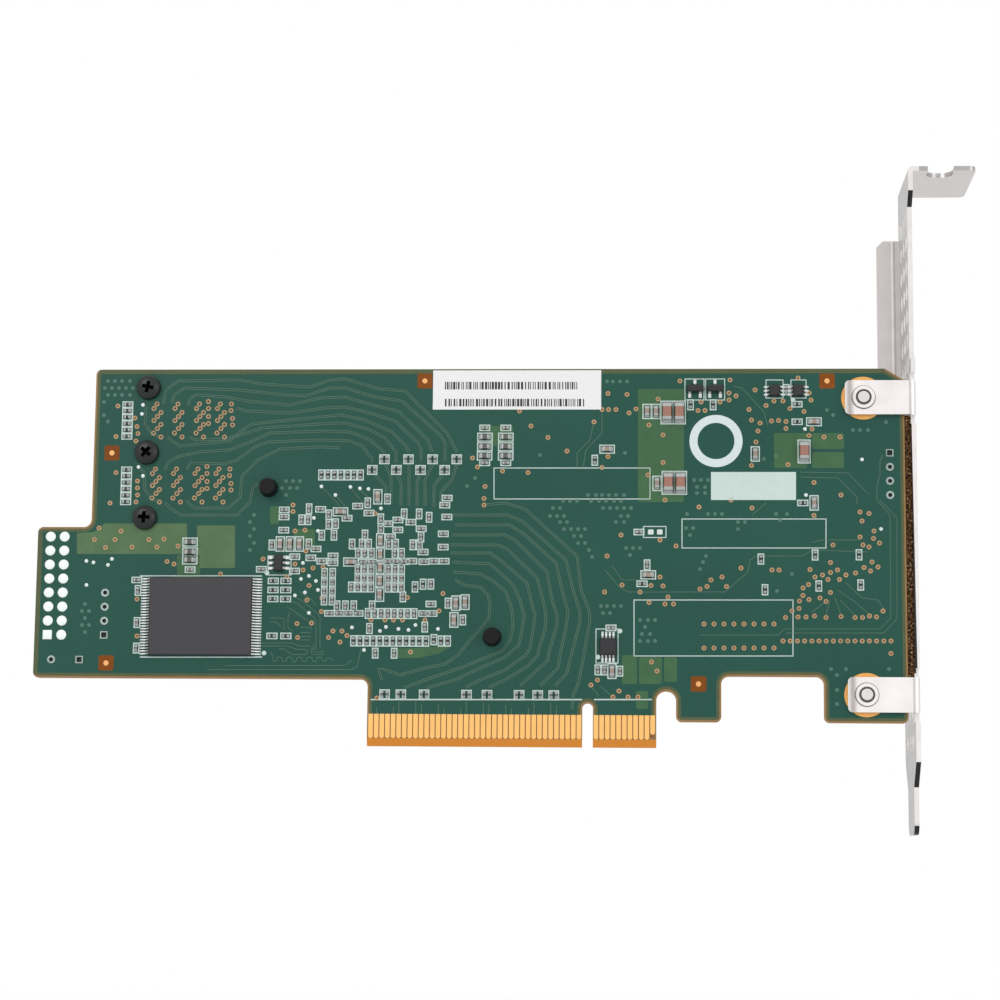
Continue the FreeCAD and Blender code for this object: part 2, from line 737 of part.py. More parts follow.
def make_port_inserts():
    """The moulded contact block of each port, with two slots for a plug's tongues."""
    for which, z in PORTS.items():
        body = new_body("PortInsert" + which.title())
        front = CAVITY_BACK + " - insert_length"
        half = "(cavity_width / 2 - insert_clearance)"
        section = new_sketch(body, "YZ_Plane", CAVITY_BACK)
        rectangle(section, CAVITY_FLOOR, z + " - " + half,
                  CAVITY_FLOOR + " + cavity_height - insert_clearance", z + " + " + half)
        pad(body, section, "insert_length", reverse=True)
        slots = new_sketch(body, "YZ_Plane", front)
        for side in (-1, 1):
            middle = CAVITY_FLOOR + " + cavity_height / 2 + (%d) * slot_spacing / 2" % side
            rectangle(slots, middle + " - slot_height / 2", z + " - slot_width / 2",
                      middle + " + slot_height / 2", z + " + slot_width / 2")
        cut(body, slots, "slot_depth", reverse=True)
        node(body, which + "_port_insert")

        combs = []
        span = "(%d * blade_pitch + blade_width)" % (BLADES - 1)
        for side in (-1, 1):
            middle = CAVITY_FLOOR + " + cavity_height / 2 + (%d) * slot_spacing / 2" % side
            levels = (middle + " - slot_height / 2", middle + " + slot_height / 2 - blade_height")
            for level in levels:
                corner = (front + " + slot_depth - blade_length", level, "%s - %s / 2" % (z, span))
                combs.append(block("%s_contacts_%d" % (which, len(combs)), corner,
                                   ("blade_length", "blade_height", span)))
        group(which + "_port_contacts", combs)


def make_port_screws():
    """Cross-recessed screws whose round heads show on the solder side."""
    top = SOLDER_FACE + " - port_screw_head_height"
    pieces = []
    for number, z in enumerate(PORT_SCREWS):
        body = turned("PortScrew%d" % number, "-port_screw_x", z, [
            ("0", SOLDER_FACE + " + port_screw_length"),
            ("port_screw_diameter / 2", SOLDER_FACE + " + port_screw_length"),
            ("port_screw_diameter / 2", SOLDER_FACE),
            ("port_screw_head / 2", SOLDER_FACE),
            ("port_screw_crown / 2", top),
            ("0", top)])
        cross = new_sketch(body, "XZ_Plane", "board_thickness / 2 + port_screw_head_height")
        arm = "recess_arm / 2"
        end = "recess_span / 2"
        polygon(cross, [("-" + arm, "-" + end), (arm, "-" + end), (arm, "-" + arm), (end, "-" + arm),
                        (end, arm), (arm, arm), (arm, end), ("-" + arm, end), ("-" + arm, arm),
                        ("-" + end, arm), ("-" + end, "-" + arm), ("-" + arm, "-" + arm)])
        cut(body, cross, "recess_depth")
        pieces.append(body)
    group("port_screws", pieces)


SUBSTRATE_TOP = PART_FACE + " + substrate_thickness"
MOULDING_TOP = SUBSTRATE_TOP + " + moulding_thickness"
PAD_TOP = MOULDING_TOP + " + pad_thickness"
BASE_TOP = PAD_TOP + " + sink_base"


def make_controller():
    """The controller's laminate, its moulding and the thermal pad on it."""
    place = (CONTROLLER_X, "controller_z")
    node(centred_block("Substrate", *place, PART_FACE, "substrate_side", "substrate_thickness",
                       "substrate_side"), "controller_substrate")
    node(centred_block("Moulding", *place, SUBSTRATE_TOP, "moulding_side", "moulding_thickness",
                       "moulding_side"), "controller_moulding")
    node(centred_block("ThermalPad", *place, MOULDING_TOP, "pad_side", "pad_thickness", "pad_side"),
         "thermal_pad")


def make_heat_sink():
    """Extruded base and straight fins, with the fins milled away round the two push pins."""
    body = new_body("HeatSink", CONTROLLER_X, "controller_z")
    section = new_sketch(body, "YZ_Plane")
    fin_top = BASE_TOP + " + fin_height"
    points = [(PAD_TOP, "-sink_width / 2")]
    for fin in range(int(SIZES["fin_count"])):
        low = "-sink_width / 2 + %d * (sink_width - fin_thickness) / (fin_count - 1)" % fin
        high = low + " + fin_thickness"
        if fin > 0:
            points.append((BASE_TOP, low))
        points += [(fin_top, low), (fin_top, high)]
        if fin < int(SIZES["fin_count"]) - 1:
            points.append((BASE_TOP, high))
    points.append((PAD_TOP, "sink_width / 2"))
    polygon(section, points)
    pad(body, section, "sink_length", "Symmetric")
    corners = new_sketch(body, "XZ_Plane", "-(" + BASE_TOP + ")")
    outside_x = "(sink_length / 2 + fin_thickness)"
    outside_z = "(sink_width / 2 + fin_thickness)"
    inside_x = "(" + PIN_X + " - pin_pocket / 2)"
    inside_z = "(" + PIN_Z + " - pin_pocket / 2)"
    rectangle(corners, "-" + outside_x, inside_z, "-" + inside_x, outside_z)
    rectangle(corners, inside_x, "-" + outside_z, outside_x, "-" + inside_z)
    cut(body, corners, "fin_height")
    holes = new_sketch(body, "XZ_Plane")
    for side in (-1, 1):
        circle(holes, "(%d) * %s" % (side, PIN_X), "(%d) * %s" % (-side, PIN_Z),
               "pin_diameter + pin_hole_clearance")
    cut(body, holes)
    node(body, "heat_sink")


def make_push_pins():
    """Sprung nylon pins: flat head, shank through sink and board, blunt barb on the solder side."""
    head = BASE_TOP + " + spring_height"
    tip = SOLDER_FACE + " - barb_length"
    pins = []
    springs = []
    for number, (x, z) in enumerate(PIN_PLACES):
        body = turned("PushPin%d" % number, x, z, [
            ("0", tip),
            ("barb_tip / 2", tip),
            ("barb_diameter / 2", SOLDER_FACE),
            ("pin_diameter / 2", SOLDER_FACE),
            ("pin_diameter / 2", head),
            ("pin_head / 2", head),
            ("pin_head / 2", head + " + pin_head_height"),
            ("0", head + " + pin_head_height")])
        pins.append(body)
        springs.append(make_spring(number, x, z))
    group("push_pins", pins)
    group("push_pin_springs", springs)


def make_spring(number, x, z):
    """The coil's envelope: it stands on the sink's base and presses under the pin's head."""
    body = new_body("Spring%d" % number, x, z)
    sketch = new_sketch(body, "XZ_Plane", "-(" + BASE_TOP + ")")
    for width in ("(spring_diameter + spring_wire)", "(spring_diameter - spring_wire)"):
        polygon(sketch, regular("0", "0", width, 8))
    pad(body, sketch, "spring_height", reverse=True)
    return body


def lead_row(body, outward, first, face, level, half, count, pitch, width, reach):
    """A row of bent leads on one side of a chip, from its middle height down to the board."""
    along_x = outward[1] == "X"
    sketch = new_sketch(body, "XY_Plane" if along_x else "YZ_Plane", first)
    out = "%s(%s + %%s)" % (outward[0], half)
    height = "%s(board_thickness / 2 + %%s)" % face
    bend = "(%s) * lead_bend_share" % reach
    profile = [("0", level + " + lead_thickness"), (bend + " + lead_thickness", "lead_thickness"),
               (reach, "lead_thickness"), (reach, "0"), (bend, "0"), ("0", level)]
    points = [(out % run, height % rise) for run, rise in profile]
    polygon(sketch, points if along_x else [(rise, run) for run, rise in points])
    one = pad(body, sketch, width, "Symmetric")
    if count > 1:
        repeat(body, one, sketch, "N_Axis", pitch, count)


def leaded_chips(label, face, places, size, sides, pitch, width, reach):
    """Moulded chips on one face of the board, and their leads as a second sub-part.

    size is the moulding's length in X, height and width in Z; sides give the way each row of leads
    points and how many leads it has.
    """
    length, height, depth = size
    bodies = []
    leads = []
    for number, (x, z) in enumerate(places):
        level = PART_FACE + " + chip_standoff"
        if face == "-":
            level = SOLDER_FACE + " - chip_standoff - " + height
        bodies.append(centred_block("%s_%d" % (label, number), x, z, level, length, height, depth))
        body = new_body("%s_leads_%d" % (label, number), x, z)
        for outward, count in sides:
            half = "%s / 2" % (length if outward[1] == "X" else depth)
            lead_row(body, outward, "-(%s) * %d / 2" % (pitch, count - 1), face,
                     "(chip_standoff + %s / 2)" % height, half, count, pitch, width, reach)
        leads.append(body)
    group(label, bodies)
    group(label + "_leads", leads)


def make_leaded_chips():
    """The memory chip and the small leaded chips of the solder side, and the boot chip behind."""
    leaded_chips("memory_chip", "-", [(MEMORY_X, "controller_z - memory_below")],
                 ("memory_length", "memory_height", "memory_width"), [("-X", 28), ("+X", 28)],
                 "memory_lead_pitch", "memory_lead_width", "memory_lead_reach")
    leaded_chips("amplifier_chip", "-", [("amplifier_x", "amplifier_z")],
                 ("amplifier_side", "amplifier_height", "amplifier_side"), [("-Z", 4), ("+Z", 4)],
                 "amplifier_lead_pitch", "amplifier_lead_width", "amplifier_lead_reach")
    leaded_chips("switch_chip", "-", [(CONTROLLER_X + " - switch_left", "controller_z - switch_below")],
                 ("switch_width", "switch_height", "switch_length"), [("-X", 3), ("+X", 3)],
                 "switch_lead_pitch", "switch_lead_width", "switch_lead_reach")
    leaded_chips("transistors", "-",
                 [("transistor_x + %d * transistor_pitch" % step, "transistor_z") for step in range(2)],
                 ("transistor_length", "transistor_height", "transistor_width"), [("-Z", 2), ("+Z", 1)],
                 "transistor_lead_pitch", "transistor_lead_width", "transistor_lead_reach")
    leaded_chips("logic_chips", "-",
                 [("logic_x + %d * logic_pitch" % step, "logic_z") for step in range(2)],
                 ("logic_width", "logic_height", "logic_length"), [("-X", 3), ("+X", 3)],
                 "logic_lead_pitch", "logic_lead_width", "logic_lead_reach")
    leaded_chips("boot_chip", "+", [("boot_chip_x", "boot_chip_z")],
                 ("boot_chip_side", "boot_chip_height", "boot_chip_side"), [("-X", 4), ("+X", 4)],
                 "boot_lead_pitch", "boot_lead_width", "boot_lead_reach")


CARD = ("0", "-field_level")
ROUND_CONTROLLER = (CONTROLLER_X, "controller_z")
BESIDE_PORTS = ("-port_screw_x", "port_middle_z")


def chips(label, kind, fields):
    """Two-ended chips soldered to the solder face, in fields that keep to a place on the card.

    A field is its origin, its standing rows and its lying rows. Standing chips are long in Z and their
    rows run along X; lying ones are long in X and their rows run up Z. Each row is the middle of its
    first chip, in millimetres from the field's origin, and its count.
    """
    length = kind + "_length"
    width = kind + "_width"
    height = kind + "_height"
    level = "%s - %s" % (SOLDER_FACE, height)
    step = "(%s + chip_side_gap)" % width
    pieces = []
    for (field_x, field_z), standing, lying in fields:
        for x, z, count in standing:
            for place in range(count):
                pieces.append(centred_block("%s_%d" % (label, len(pieces)),
                                            "%s + (%s) + %d * %s" % (field_x, x, place, step),
                                            "%s + (%s)" % (field_z, z), level, width, height, length))
        for x, z, count in lying:
            for place in range(count):
                pieces.append(centred_block("%s_%d" % (label, len(pieces)), "%s + (%s)" % (field_x, x),
                                            "%s + (%s) + %d * %s" % (field_z, z, place, step),
                                            level, length, height, width))
    group(label, pieces)


def make_resistors():
    """Dark chips: terminations beside the ports, pull-up rows round the controller, line resistors."""
    chips("chip_resistors", "chip",
          [(BESIDE_PORTS,
            [],
            [(-3.77, 2.97, 6), (-3.62, -9.05, 6)]),
           (ROUND_CONTROLLER,
            [(-10.82, 15.79, 7), (-4.47, -14.2, 12), (9.91, -13.93, 1), (11.2, -14.16, 2),
             (6.41, -4.48, 1), (7.86, -3.98, 1)],
            [(-19.14, -13.38, 1), (-16.64, -13.38, 1), (-19.14, -6.73, 1), (-19.14, -5.11, 1),
             (-19.14, -3.48, 1), (-16.84, -6.73, 1), (-16.84, -5.11, 1), (-16.84, -3.48, 1)]),
           (CARD,
            [(30.7, 34.4, 1), (40.3, 35.15, 1), (48.05, 35.2, 1), (31.4, 28.9, 1), (40.9, 29.6, 1),
             (48.3, 29.8, 1), (1.1, 52.2, 1), (18.25, 62.3, 1), (22.3, 62.3, 1)],
            [(37.3, 62.4, 1), (37.3, 59.2, 1), (38.2, 44.5, 1), (9.6, 29.9, 1)])])


def make_small_capacitors():
    """Small capacitors: the dense field under the controller and the loose ones round it."""
    beside_memory = "-memory_left - memory_length / 2 - memory_lead_reach - chip_length"
    chips("small_capacitors", "chip",
          [(ROUND_CONTROLLER,
            [(-3.89, -1.33, 3), (1.61, -1.33, 3), (-3.89, -2.93, 3), (1.61, -2.93, 3), (-5.04, -4.53, 4),
             (1.61, -4.53, 3), (-3.89, 1.57, 3), (2.71, 1.57, 2), (-5.04, 3.22, 1), (-3.24, 3.22, 2),
             (1.61, 3.22, 2), (-2.74, 4.87, 1), (-9.89, -6.88, 1), (-9.89, -5.28, 1), (-9.89, -3.68, 1),
             (-9.89, -2.08, 1), (-8.44, -6.88, 1), (-8.44, -5.28, 1), (-8.44, -3.68, 1),
             (-8.44, -2.08, 1), (-7.54, -7.93, 1), (-6.04, -7.93, 1), (-4.54, -7.93, 1),
             (-1.24, -7.93, 1), (-1.94, -9.28, 8), (9.26, -3.98, 1), (4.26, -6.28, 1),
             (-0.54, -16.38, 1), (2.86, -16.38, 1), (-1.64, -11.98, 1), (8.26, -11.68, 1),
             (8.76, 8.12, 1), (6.96, 8.72, 1), (4.26, 8.72, 1), (7.36, 4.52, 1), (5.91, 3.12, 2),
             (1.21, 11.42, 1), (-2.34, 10.72, 1), (0.06, 7.82, 1), (0.11, 6.07, 1), (-9.34, 8.52, 1),
             (-9.29, 6.82, 1), (-8.09, 6.92, 1), (-10.54, 4.82, 1), (-8.34, 4.82, 1), (-12.94, 9.62, 1),
             (-14.24, 7.62, 2), (-19.54, 3.02, 1), (-12.84, 3.22, 1), (12.36, -7.38, 1),
             (15.06, -10.38, 1), (beside_memory, -5.28, 1), (beside_memory, -11.08, 1),
             (beside_memory, -15.68, 1)],
            [(-2.94, -0.06, 1), (-1.49, -0.06, 1), (1.46, 0.07, 1), (2.91, 0.07, 1), (4.36, 0.07, 1),
             (1.86, 4.57, 1), (-8.84, -9.28, 1), (-7.14, -9.28, 1), (-5.44, -9.28, 1), (-3.74, -9.28, 1),
             (8.06, -9.25, 1), (9.51, -9.25, 1), (9.32, -7.54, 1), (5.76, 0.17, 1), (7.96, 0.07, 1),
             (9.76, 0.17, 1), (11.56, 0.17, 1), (11.96, 11.62, 1), (11.56, 10.32, 1), (11.96, 8.17, 1),
             (11.36, 5.12, 1), (11.36, 2.72, 1), (3.16, 7.62, 1), (5.51, 7.22, 1), (3.16, 5.82, 1),
             (7.36, 6.02, 1), (7.76, 1.82, 1), (-4.14, 10.12, 1), (-2.09, 8.87, 1), (1.36, 6.92, 1),
             (-6.04, 7.92, 1), (-12.44, 0.72, 1), (-10.44, 0.12, 1), (-8.44, -0.18, 1), (-8.44, 1.07, 1),
             (-17.44, 9.42, 1), (-17.44, 8.12, 1), (-17.44, 5.72, 1), (-10.84, 9.52, 1),
             (-11.54, 2.32, 1), (-15.34, 0.92, 1), (-15.34, -1.68, 1), (-21.34, -1.38, 1),
             (-34.24, -1.48, 1), (18.61, 24.42, 1), (18.66, 18.02, 1), (22.41, 24.42, 1),
             (22.46, 18.02, 1), (beside_memory + " - chip_width / 2", -3.38, 1)]),
           (CARD,
            [(1.8, 14.5, 2), (5.7, 14.3, 1), (35.4, 65.1, 1), (10.5, 33.3, 1)],
            [(9.04, 39.2, 1), (4.1, 22, 1)])])


def make_larger_capacitors():
    """Medium capacitors, ferrite beads of the same size, and the tall bulk capacitors."""
    chips("medium_capacitors", "medium",
          [(ROUND_CONTROLLER,
            [(0.09, 3.82, 1), (0.09, 1.42, 1), (0.09, -0.98, 1), (0.09, -3.38, 1), (0.09, -5.78, 1),
             (-18.04, 3.22, 1), (-16.24, 3.22, 1), (-14.54, 3.22, 1), (-0.54, 11.82, 1),
             (13.76, -7.38, 1), (15.41, -7.18, 1), (13.46, -10.38, 1)],
            [(-5.18, -0.02, 1), (-7.24, 9.07, 1)]),
           (CARD,
            [(4.3, 14.3, 1), (10.45, 61.1, 1), (12.06, 61.1, 1), (12.25, 48, 1), (29.8, 53.35, 1),
             (40.2, 44.5, 1)],
            [(3.3, 54.2, 1), (10.7, 31.5, 1), (40.3, 59.2, 1)])])
    chips("ferrite_beads", "medium",
          [(ROUND_CONTROLLER,
            [],
            [(-34.39, 3.52, 1), (-34.34, 1.72, 1), (-34.34, 0.27, 1), (18.63, 19.27, 1),
             (18.66, 20.97, 1), (18.66, 22.72, 1), (22.43, 19.27, 1), (22.43, 20.97, 1),
             (22.43, 22.72, 1)])])
    chips("bulk_capacitors", "bulk",
          [(CARD,
            [(14.04, 60.9, 1), (16.25, 60.9, 1), (14.25, 48.1, 1), (16.45, 48.1, 1), (38.5, 53.8, 1)],
            [])])


def make_coupling_capacitors():
    """Pairs of capacitors in the differential lines: eight from the ports, eight over the contacts."""
    port_pairs = [("0.53 + %d * pair_pitch" % step, 18.67) for step in range(4)]
    port_pairs += [("-1.63 + %d * pair_pitch" % step, 16.72) for step in range(4)]
    slot_pairs = [(x, 9.95) for x in (-36.1, -33.2, -29.05, -21.5, -17.85, -12.15, -8.85, -6.0)]
    fields = []
    for origin, pairs in ((ROUND_CONTROLLER, port_pairs), (CARD, slot_pairs)):
        standing = []
        for x, z in pairs:
            standing += [("%s - pair_spacing / 2" % x, z, 1), ("%s + pair_spacing / 2" % x, z, 1)]
        fields.append((origin, standing, []))
    chips("coupling_capacitors", "chip", fields)


def make_header_solder():
    """Two columns of header positions closed with solder; the first pad is square."""
    pads = []
    for column in range(2):
        for step in range(8):
            pad_sides = 4 if column == 0 and step == 0 else 8
            solder = doc.addObject("Part::Prism", "HeaderPad%d" % len(pads))
            solder.Polygon = pad_sides
            half_step = 180 / pad_sides
            solder.Placement.Rotation = FreeCAD.Rotation(0, 0, 90) * FreeCAD.Rotation(half_step, 0, 0)
            bind(solder, {"Circumradius": "header_pad / 2 / cos(%s deg)" % half_step,
                          "Height": "header_pad_height",
                          "Placement.Base.x": "-header_x + %d * header_pitch" % column,
                          "Placement.Base.y": SOLDER_FACE,
                          "Placement.Base.z": "header_z + %d * header_pitch" % step})
            pads.append(solder)
    group("header_solder", pads)


def make_power_pieces():
    """Inductors, regulators and storage capacitors on the component side, in two supplies."""
    inductors = []
    regulators = []
    stores = []
    for number, x in enumerate(("near_inductor_x", "far_inductor_x")):
        body = new_body("Inductor%d" % number, x, "inductor_z")
        sketch = new_sketch(body, "XZ_Plane", SOLDER_FACE)
        half = "inductor_side / 2"
        rectangle(sketch, "-" + half, "-" + half, half, half)
        core = pad(body, sketch, "inductor_height", reverse=True)
        round_edges(body, core, corner_edges(core, sketch, [0, 1, 2, 3]), "inductor_corner")
        inductors.append(body)
        regulators.append(centred_block(
            "Regulator%d" % number, x + " + inductor_side / 2 + regulator_gap + regulator_side / 2",
            "inductor_z", PART_FACE, "regulator_side", "regulator_height", "regulator_side"))
        stores.append(centred_block(
            "Storage%d" % number, x,
            "inductor_z - inductor_side / 2 - storage_gap - storage_width / 2",
            PART_FACE, "storage_length", "storage_height", "storage_width"))
    group("power_inductors", inductors)
    group("regulator_chips", regulators)
    group("storage_capacitors", stores)
    node(centred_block("Oscillator", "-oscillator_x", "oscillator_z", PART_FACE, "oscillator_length",
                       "oscillator_height", "oscillator_width"), "clock_oscillator")


def make_label():
    """The paper label at the top of the solder side."""
    node(block("Label", ("-label_left", SOLDER_FACE + " - label_thickness", "label_bottom"),
               ("label_length", "label_thickness", "label_width")), "paper_label")


make_board()
make_contacts("solder_side_contacts", SOLDER_FACE, -1, LONG_ROW + SHORT_ROW - 1)
make_contacts("component_side_contacts", PART_FACE, 1, LONG_ROW - 2)
make_bracket()
make_rings()
make_bracket_screws()
make_port_shell()
make_port_inserts()
make_port_screws()
make_controller()
make_heat_sink()
make_push_pins()
make_leaded_chips()
make_resistors()
make_small_capacitors()
make_larger_capacitors()
make_coupling_capacitors()
make_header_solder()
make_power_pieces()
make_label()

doc.recompute()
broken = [item.Name for item in doc.Objects if "Invalid" in item.State or "Error" in item.State]
broken += [item.Label for item in nodes if item.Shape.isNull() or not item.Shape.isValid()]
if broken:
    raise RuntimeError("not built: " + ", ".join(broken))
os.makedirs("parts", exist_ok=True)
for item in nodes:
    item.Shape.exportStep("parts/%s.step" % item.Label)
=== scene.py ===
import math
import random

import bpy
from mathutils import Matrix, Vector


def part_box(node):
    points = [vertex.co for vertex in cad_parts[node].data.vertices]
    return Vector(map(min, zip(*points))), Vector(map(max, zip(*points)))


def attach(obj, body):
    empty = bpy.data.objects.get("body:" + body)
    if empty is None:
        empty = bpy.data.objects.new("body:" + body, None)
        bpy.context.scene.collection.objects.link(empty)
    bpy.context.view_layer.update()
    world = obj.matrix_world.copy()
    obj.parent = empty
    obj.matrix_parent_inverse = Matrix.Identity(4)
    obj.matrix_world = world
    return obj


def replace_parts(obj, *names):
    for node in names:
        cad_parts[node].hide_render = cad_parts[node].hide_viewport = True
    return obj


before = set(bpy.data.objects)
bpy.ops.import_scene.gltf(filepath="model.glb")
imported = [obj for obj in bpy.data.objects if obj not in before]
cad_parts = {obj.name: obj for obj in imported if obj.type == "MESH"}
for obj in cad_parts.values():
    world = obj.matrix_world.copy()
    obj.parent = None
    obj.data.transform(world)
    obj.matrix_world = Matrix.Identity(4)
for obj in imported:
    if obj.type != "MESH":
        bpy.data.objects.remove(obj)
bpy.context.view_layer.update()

# Camera
# A long lens in front of the solder side, a little below the card's middle and looking up at it.
# The printed marks of the card are laid out through the same lens.
MM = 0.001
picture_side = 1000
focal_pixels = 2564.5
view_azimuth = math.radians(3.19)
view_elevation = math.radians(-8.60)
view_roll = math.radians(0.56)
view_distance = 461.08 * MM
view_target = Vector((-15.92 * MM, 0, 44.27 * MM))
sensor_width = 36

view_back = Vector((math.sin(view_azimuth) * math.cos(view_elevation),
                    -math.cos(view_azimuth) * math.cos(view_elevation),
                    math.sin(view_elevation)))
level_right = Vector((0, 0, 1)).cross(view_back).normalized()
level_up = view_back.cross(level_right)
view_right = level_right * math.cos(view_roll) + level_up * math.sin(view_roll)
view_up = level_up * math.cos(view_roll) - level_right * math.sin(view_roll)
camera_place = view_target + view_back * view_distance

bpy.ops.object.select_all(action="DESELECT")
bpy.ops.object.camera_add()
camera = bpy.context.object
camera.matrix_world = (Matrix.Translation(camera_place)
                       @ Matrix((view_right, view_up, view_back)).transposed().to_4x4())
camera.data.sensor_width = sensor_width
camera.data.lens = focal_pixels * sensor_width / picture_side
camera.data.clip_start = 0.01
camera.data.clip_end = 30
bpy.context.scene.camera = camera

solder_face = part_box("circuit_board")[0].y
part_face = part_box("circuit_board")[1].y


def on_card(across, down):
    """The point on the solder face that a place in the picture shows."""
    ray = (view_right * (across - picture_side / 2) + view_up * (picture_side / 2 - down)
           - view_back * focal_pixels)
    return camera_place + ray * ((solder_face - camera_place.y) / ray.y)


def all_on_card(places):
    """The points on the solder face that several places in the picture show."""
    return [on_card(*place) for place in places]


# Studio
# A white table well below the card, a white surround and three soft lamps. The table is lit only near
# the card, where it keeps the shadow, and fades into the surround further off.
table_height = -60 * MM
table_size = 12
table_white = (0.93, 0.93, 0.93, 1)
shadow_reach = 2.2
shadow_depth = 0.55
surround_light = 0.62


def seen_share(tree):
    """A socket that is 1 for what is seen straight, mirrored or through a clear piece, and else 0."""
    path = tree.nodes.new("ShaderNodeLightPath")
    seen = path.outputs["Is Camera Ray"]
    for kind in ("Is Glossy Ray", "Is Transmission Ray"):
        either = tree.nodes.new("ShaderNodeMath")
        either.operation = "MAXIMUM"
        tree.links.new(seen, either.inputs[0])
        tree.links.new(path.outputs[kind], either.inputs[1])
        seen = either.outputs[0]
    return seen


bpy.context.scene.view_settings.view_transform = "Standard"
bpy.ops.mesh.primitive_plane_add(size=table_size, location=(0, 0, table_height))
table = bpy.context.object
table.name = "studio_table"
bpy.ops.object.transform_apply(location=True, rotation=True, scale=True)
table_finish = bpy.data.materials.new("studio_table")
table_finish.use_nodes = True
tree = table_finish.node_tree
tree.nodes.clear()
output = tree.nodes.new("ShaderNodeOutputMaterial")
matt = tree.nodes.new("ShaderNodeBsdfDiffuse")
matt.inputs["Color"].default_value = table_white
glow = tree.nodes.new("ShaderNodeEmission")
spot = tree.nodes.new("ShaderNodeTexCoord")
spread = tree.nodes.new("ShaderNodeMapping")
spread.inputs["Scale"].default_value = (shadow_reach, shadow_reach, shadow_reach)
fade = tree.nodes.new("ShaderNodeTexGradient")
fade.gradient_type = "SPHERICAL"
far = tree.nodes.new("ShaderNodeMath")
far.operation = "MULTIPLY_ADD"
far.inputs[1].default_value = -shadow_depth
far.inputs[2].default_value = 1.0
share = tree.nodes.new("ShaderNodeMath")
share.operation = "MULTIPLY"
blend = tree.nodes.new("ShaderNodeMixShader")
tree.links.new(spot.outputs["Object"], spread.inputs["Vector"])
tree.links.new(spread.outputs["Vector"], fade.inputs["Vector"])
tree.links.new(fade.outputs["Fac"], far.inputs[0])
tree.links.new(far.outputs[0], share.inputs[0])
tree.links.new(seen_share(tree), share.inputs[1])
tree.links.new(share.outputs[0], blend.inputs["Fac"])
tree.links.new(matt.outputs[0], blend.inputs[1])
tree.links.new(glow.outputs[0], blend.inputs[2])
tree.links.new(blend.outputs[0], output.inputs["Surface"])
table.data.materials.append(table_finish)

surround = bpy.data.worlds.new("studio_surround")
bpy.context.scene.world = surround
surround.use_nodes = True
tree = surround.node_tree
sky = tree.nodes["Background"]
sky.inputs["Color"].default_value = (1, 1, 1, 1)
strength = tree.nodes.new("ShaderNodeMath")
strength.operation = "MULTIPLY_ADD"
strength.inputs[1].default_value = 1 - surround_light
strength.inputs[2].default_value = surround_light
tree.links.new(seen_share(tree), strength.inputs[0])
tree.links.new(strength.outputs[0], sky.inputs["Strength"])

for name, place, aim, side, power in (
        ("key_lamp", (-0.55, -1.1, 0.75), (-0.02, 0, 0.04), 0.7, 4.6),
        ("fill_lamp", (0.85, -0.95, 0.25), (0.0, 0, 0.04), 0.7, 2.4),
        ("top_lamp", (0.1, 0.5, 1.1), (0.0, 0, 0.04), 0.6, 2.6)):
    bpy.ops.object.light_add(type="AREA", location=place)
    lamp = bpy.context.object
    lamp.name = name
    lamp.data.size = side
    lamp.data.energy = power
    lamp.rotation_euler = (Vector(aim) - Vector(place)).to_track_quat("-Z", "Y").to_euler()


# Circuit board
# A routed glass-epoxy sheet with a dark green mask on both faces. The routed edges and the tongue's
# bevels show the bare brown laminate.
mask_green = (0.016, 0.090, 0.064, 1)
mask_green_deep = (0.009, 0.070, 0.052, 1)
laminate_brown = (0.50, 0.25, 0.075, 1)
laminate_dark = (0.30, 0.14, 0.040, 1)
bevel_orange = (0.69, 0.250, 0.031, 1)
flat_from = 0.99
bevel_from = 0.5
layer_scale = 700
layer_waver = 1.5
patch_scale = 45
broad_grain_scale = 60


def new_group(name, inputs, outputs):
    """An empty shader group with named sockets, and its two end nodes."""
    group = bpy.data.node_groups.new(name, "ShaderNodeTree")
    for label, kind, value in inputs:
        socket = group.interface.new_socket(label, in_out="INPUT", socket_type=kind)
        socket.default_value = value
    for label, kind in outputs:
        group.interface.new_socket(label, in_out="OUTPUT", socket_type=kind)
    return group, group.nodes.new("NodeGroupInput"), group.nodes.new("NodeGroupOutput")


def add_math(tree, operation, first, second):
    """A math node whose two inputs are sockets or plain numbers; gives its output socket."""
    node = tree.nodes.new("ShaderNodeMath")
    node.operation = operation
    for place, value in enumerate((first, second)):
        if isinstance(value, (int, float)):
            node.inputs[place].default_value = value
        else:
            tree.links.new(value, node.inputs[place])
    return node.outputs[0]


def mixed(tree, share, first, second):
    """A colour between two that are sockets or plain colours, by a share; gives its output socket."""
    node = tree.nodes.new("ShaderNodeMix")
    node.data_type = "RGBA"
    tree.links.new(share, node.inputs["Factor"])
    for label, value in (("A", first), ("B", second)):
        if isinstance(value, bpy.types.NodeSocket):
            tree.links.new(value, node.inputs[label])
        else:
            node.inputs[label].default_value = value
    return node.outputs["Result"]


grain, grain_in, grain_out = new_group(
    "fine_grain",
    [("Color", "NodeSocketColor", (0.5, 0.5, 0.5, 1)), ("Variation", "NodeSocketFloat", 0.1),
     ("Scale", "NodeSocketFloat", 800.0), ("Roughness", "NodeSocketFloat", 0.5),
     ("Spread", "NodeSocketFloat", 0.1)],
    [("Color", "NodeSocketColor"), ("Roughness", "NodeSocketFloat"), ("Height", "NodeSocketFloat")])
grain_place = grain.nodes.new("ShaderNodeTexCoord")
fine = grain.nodes.new("ShaderNodeTexNoise")
fine.inputs["Detail"].default_value = 4
broad = grain.nodes.new("ShaderNodeTexNoise")
broad.inputs["Scale"].default_value = broad_grain_scale
broad.inputs["Detail"].default_value = 3
grain.links.new(grain_place.outputs["Object"], fine.inputs["Vector"])
grain.links.new(grain_place.outputs["Object"], broad.inputs["Vector"])
grain.links.new(grain_in.outputs["Scale"], fine.inputs["Scale"])
both = add_math(grain, "ADD", fine.outputs["Fac"], broad.outputs["Fac"])
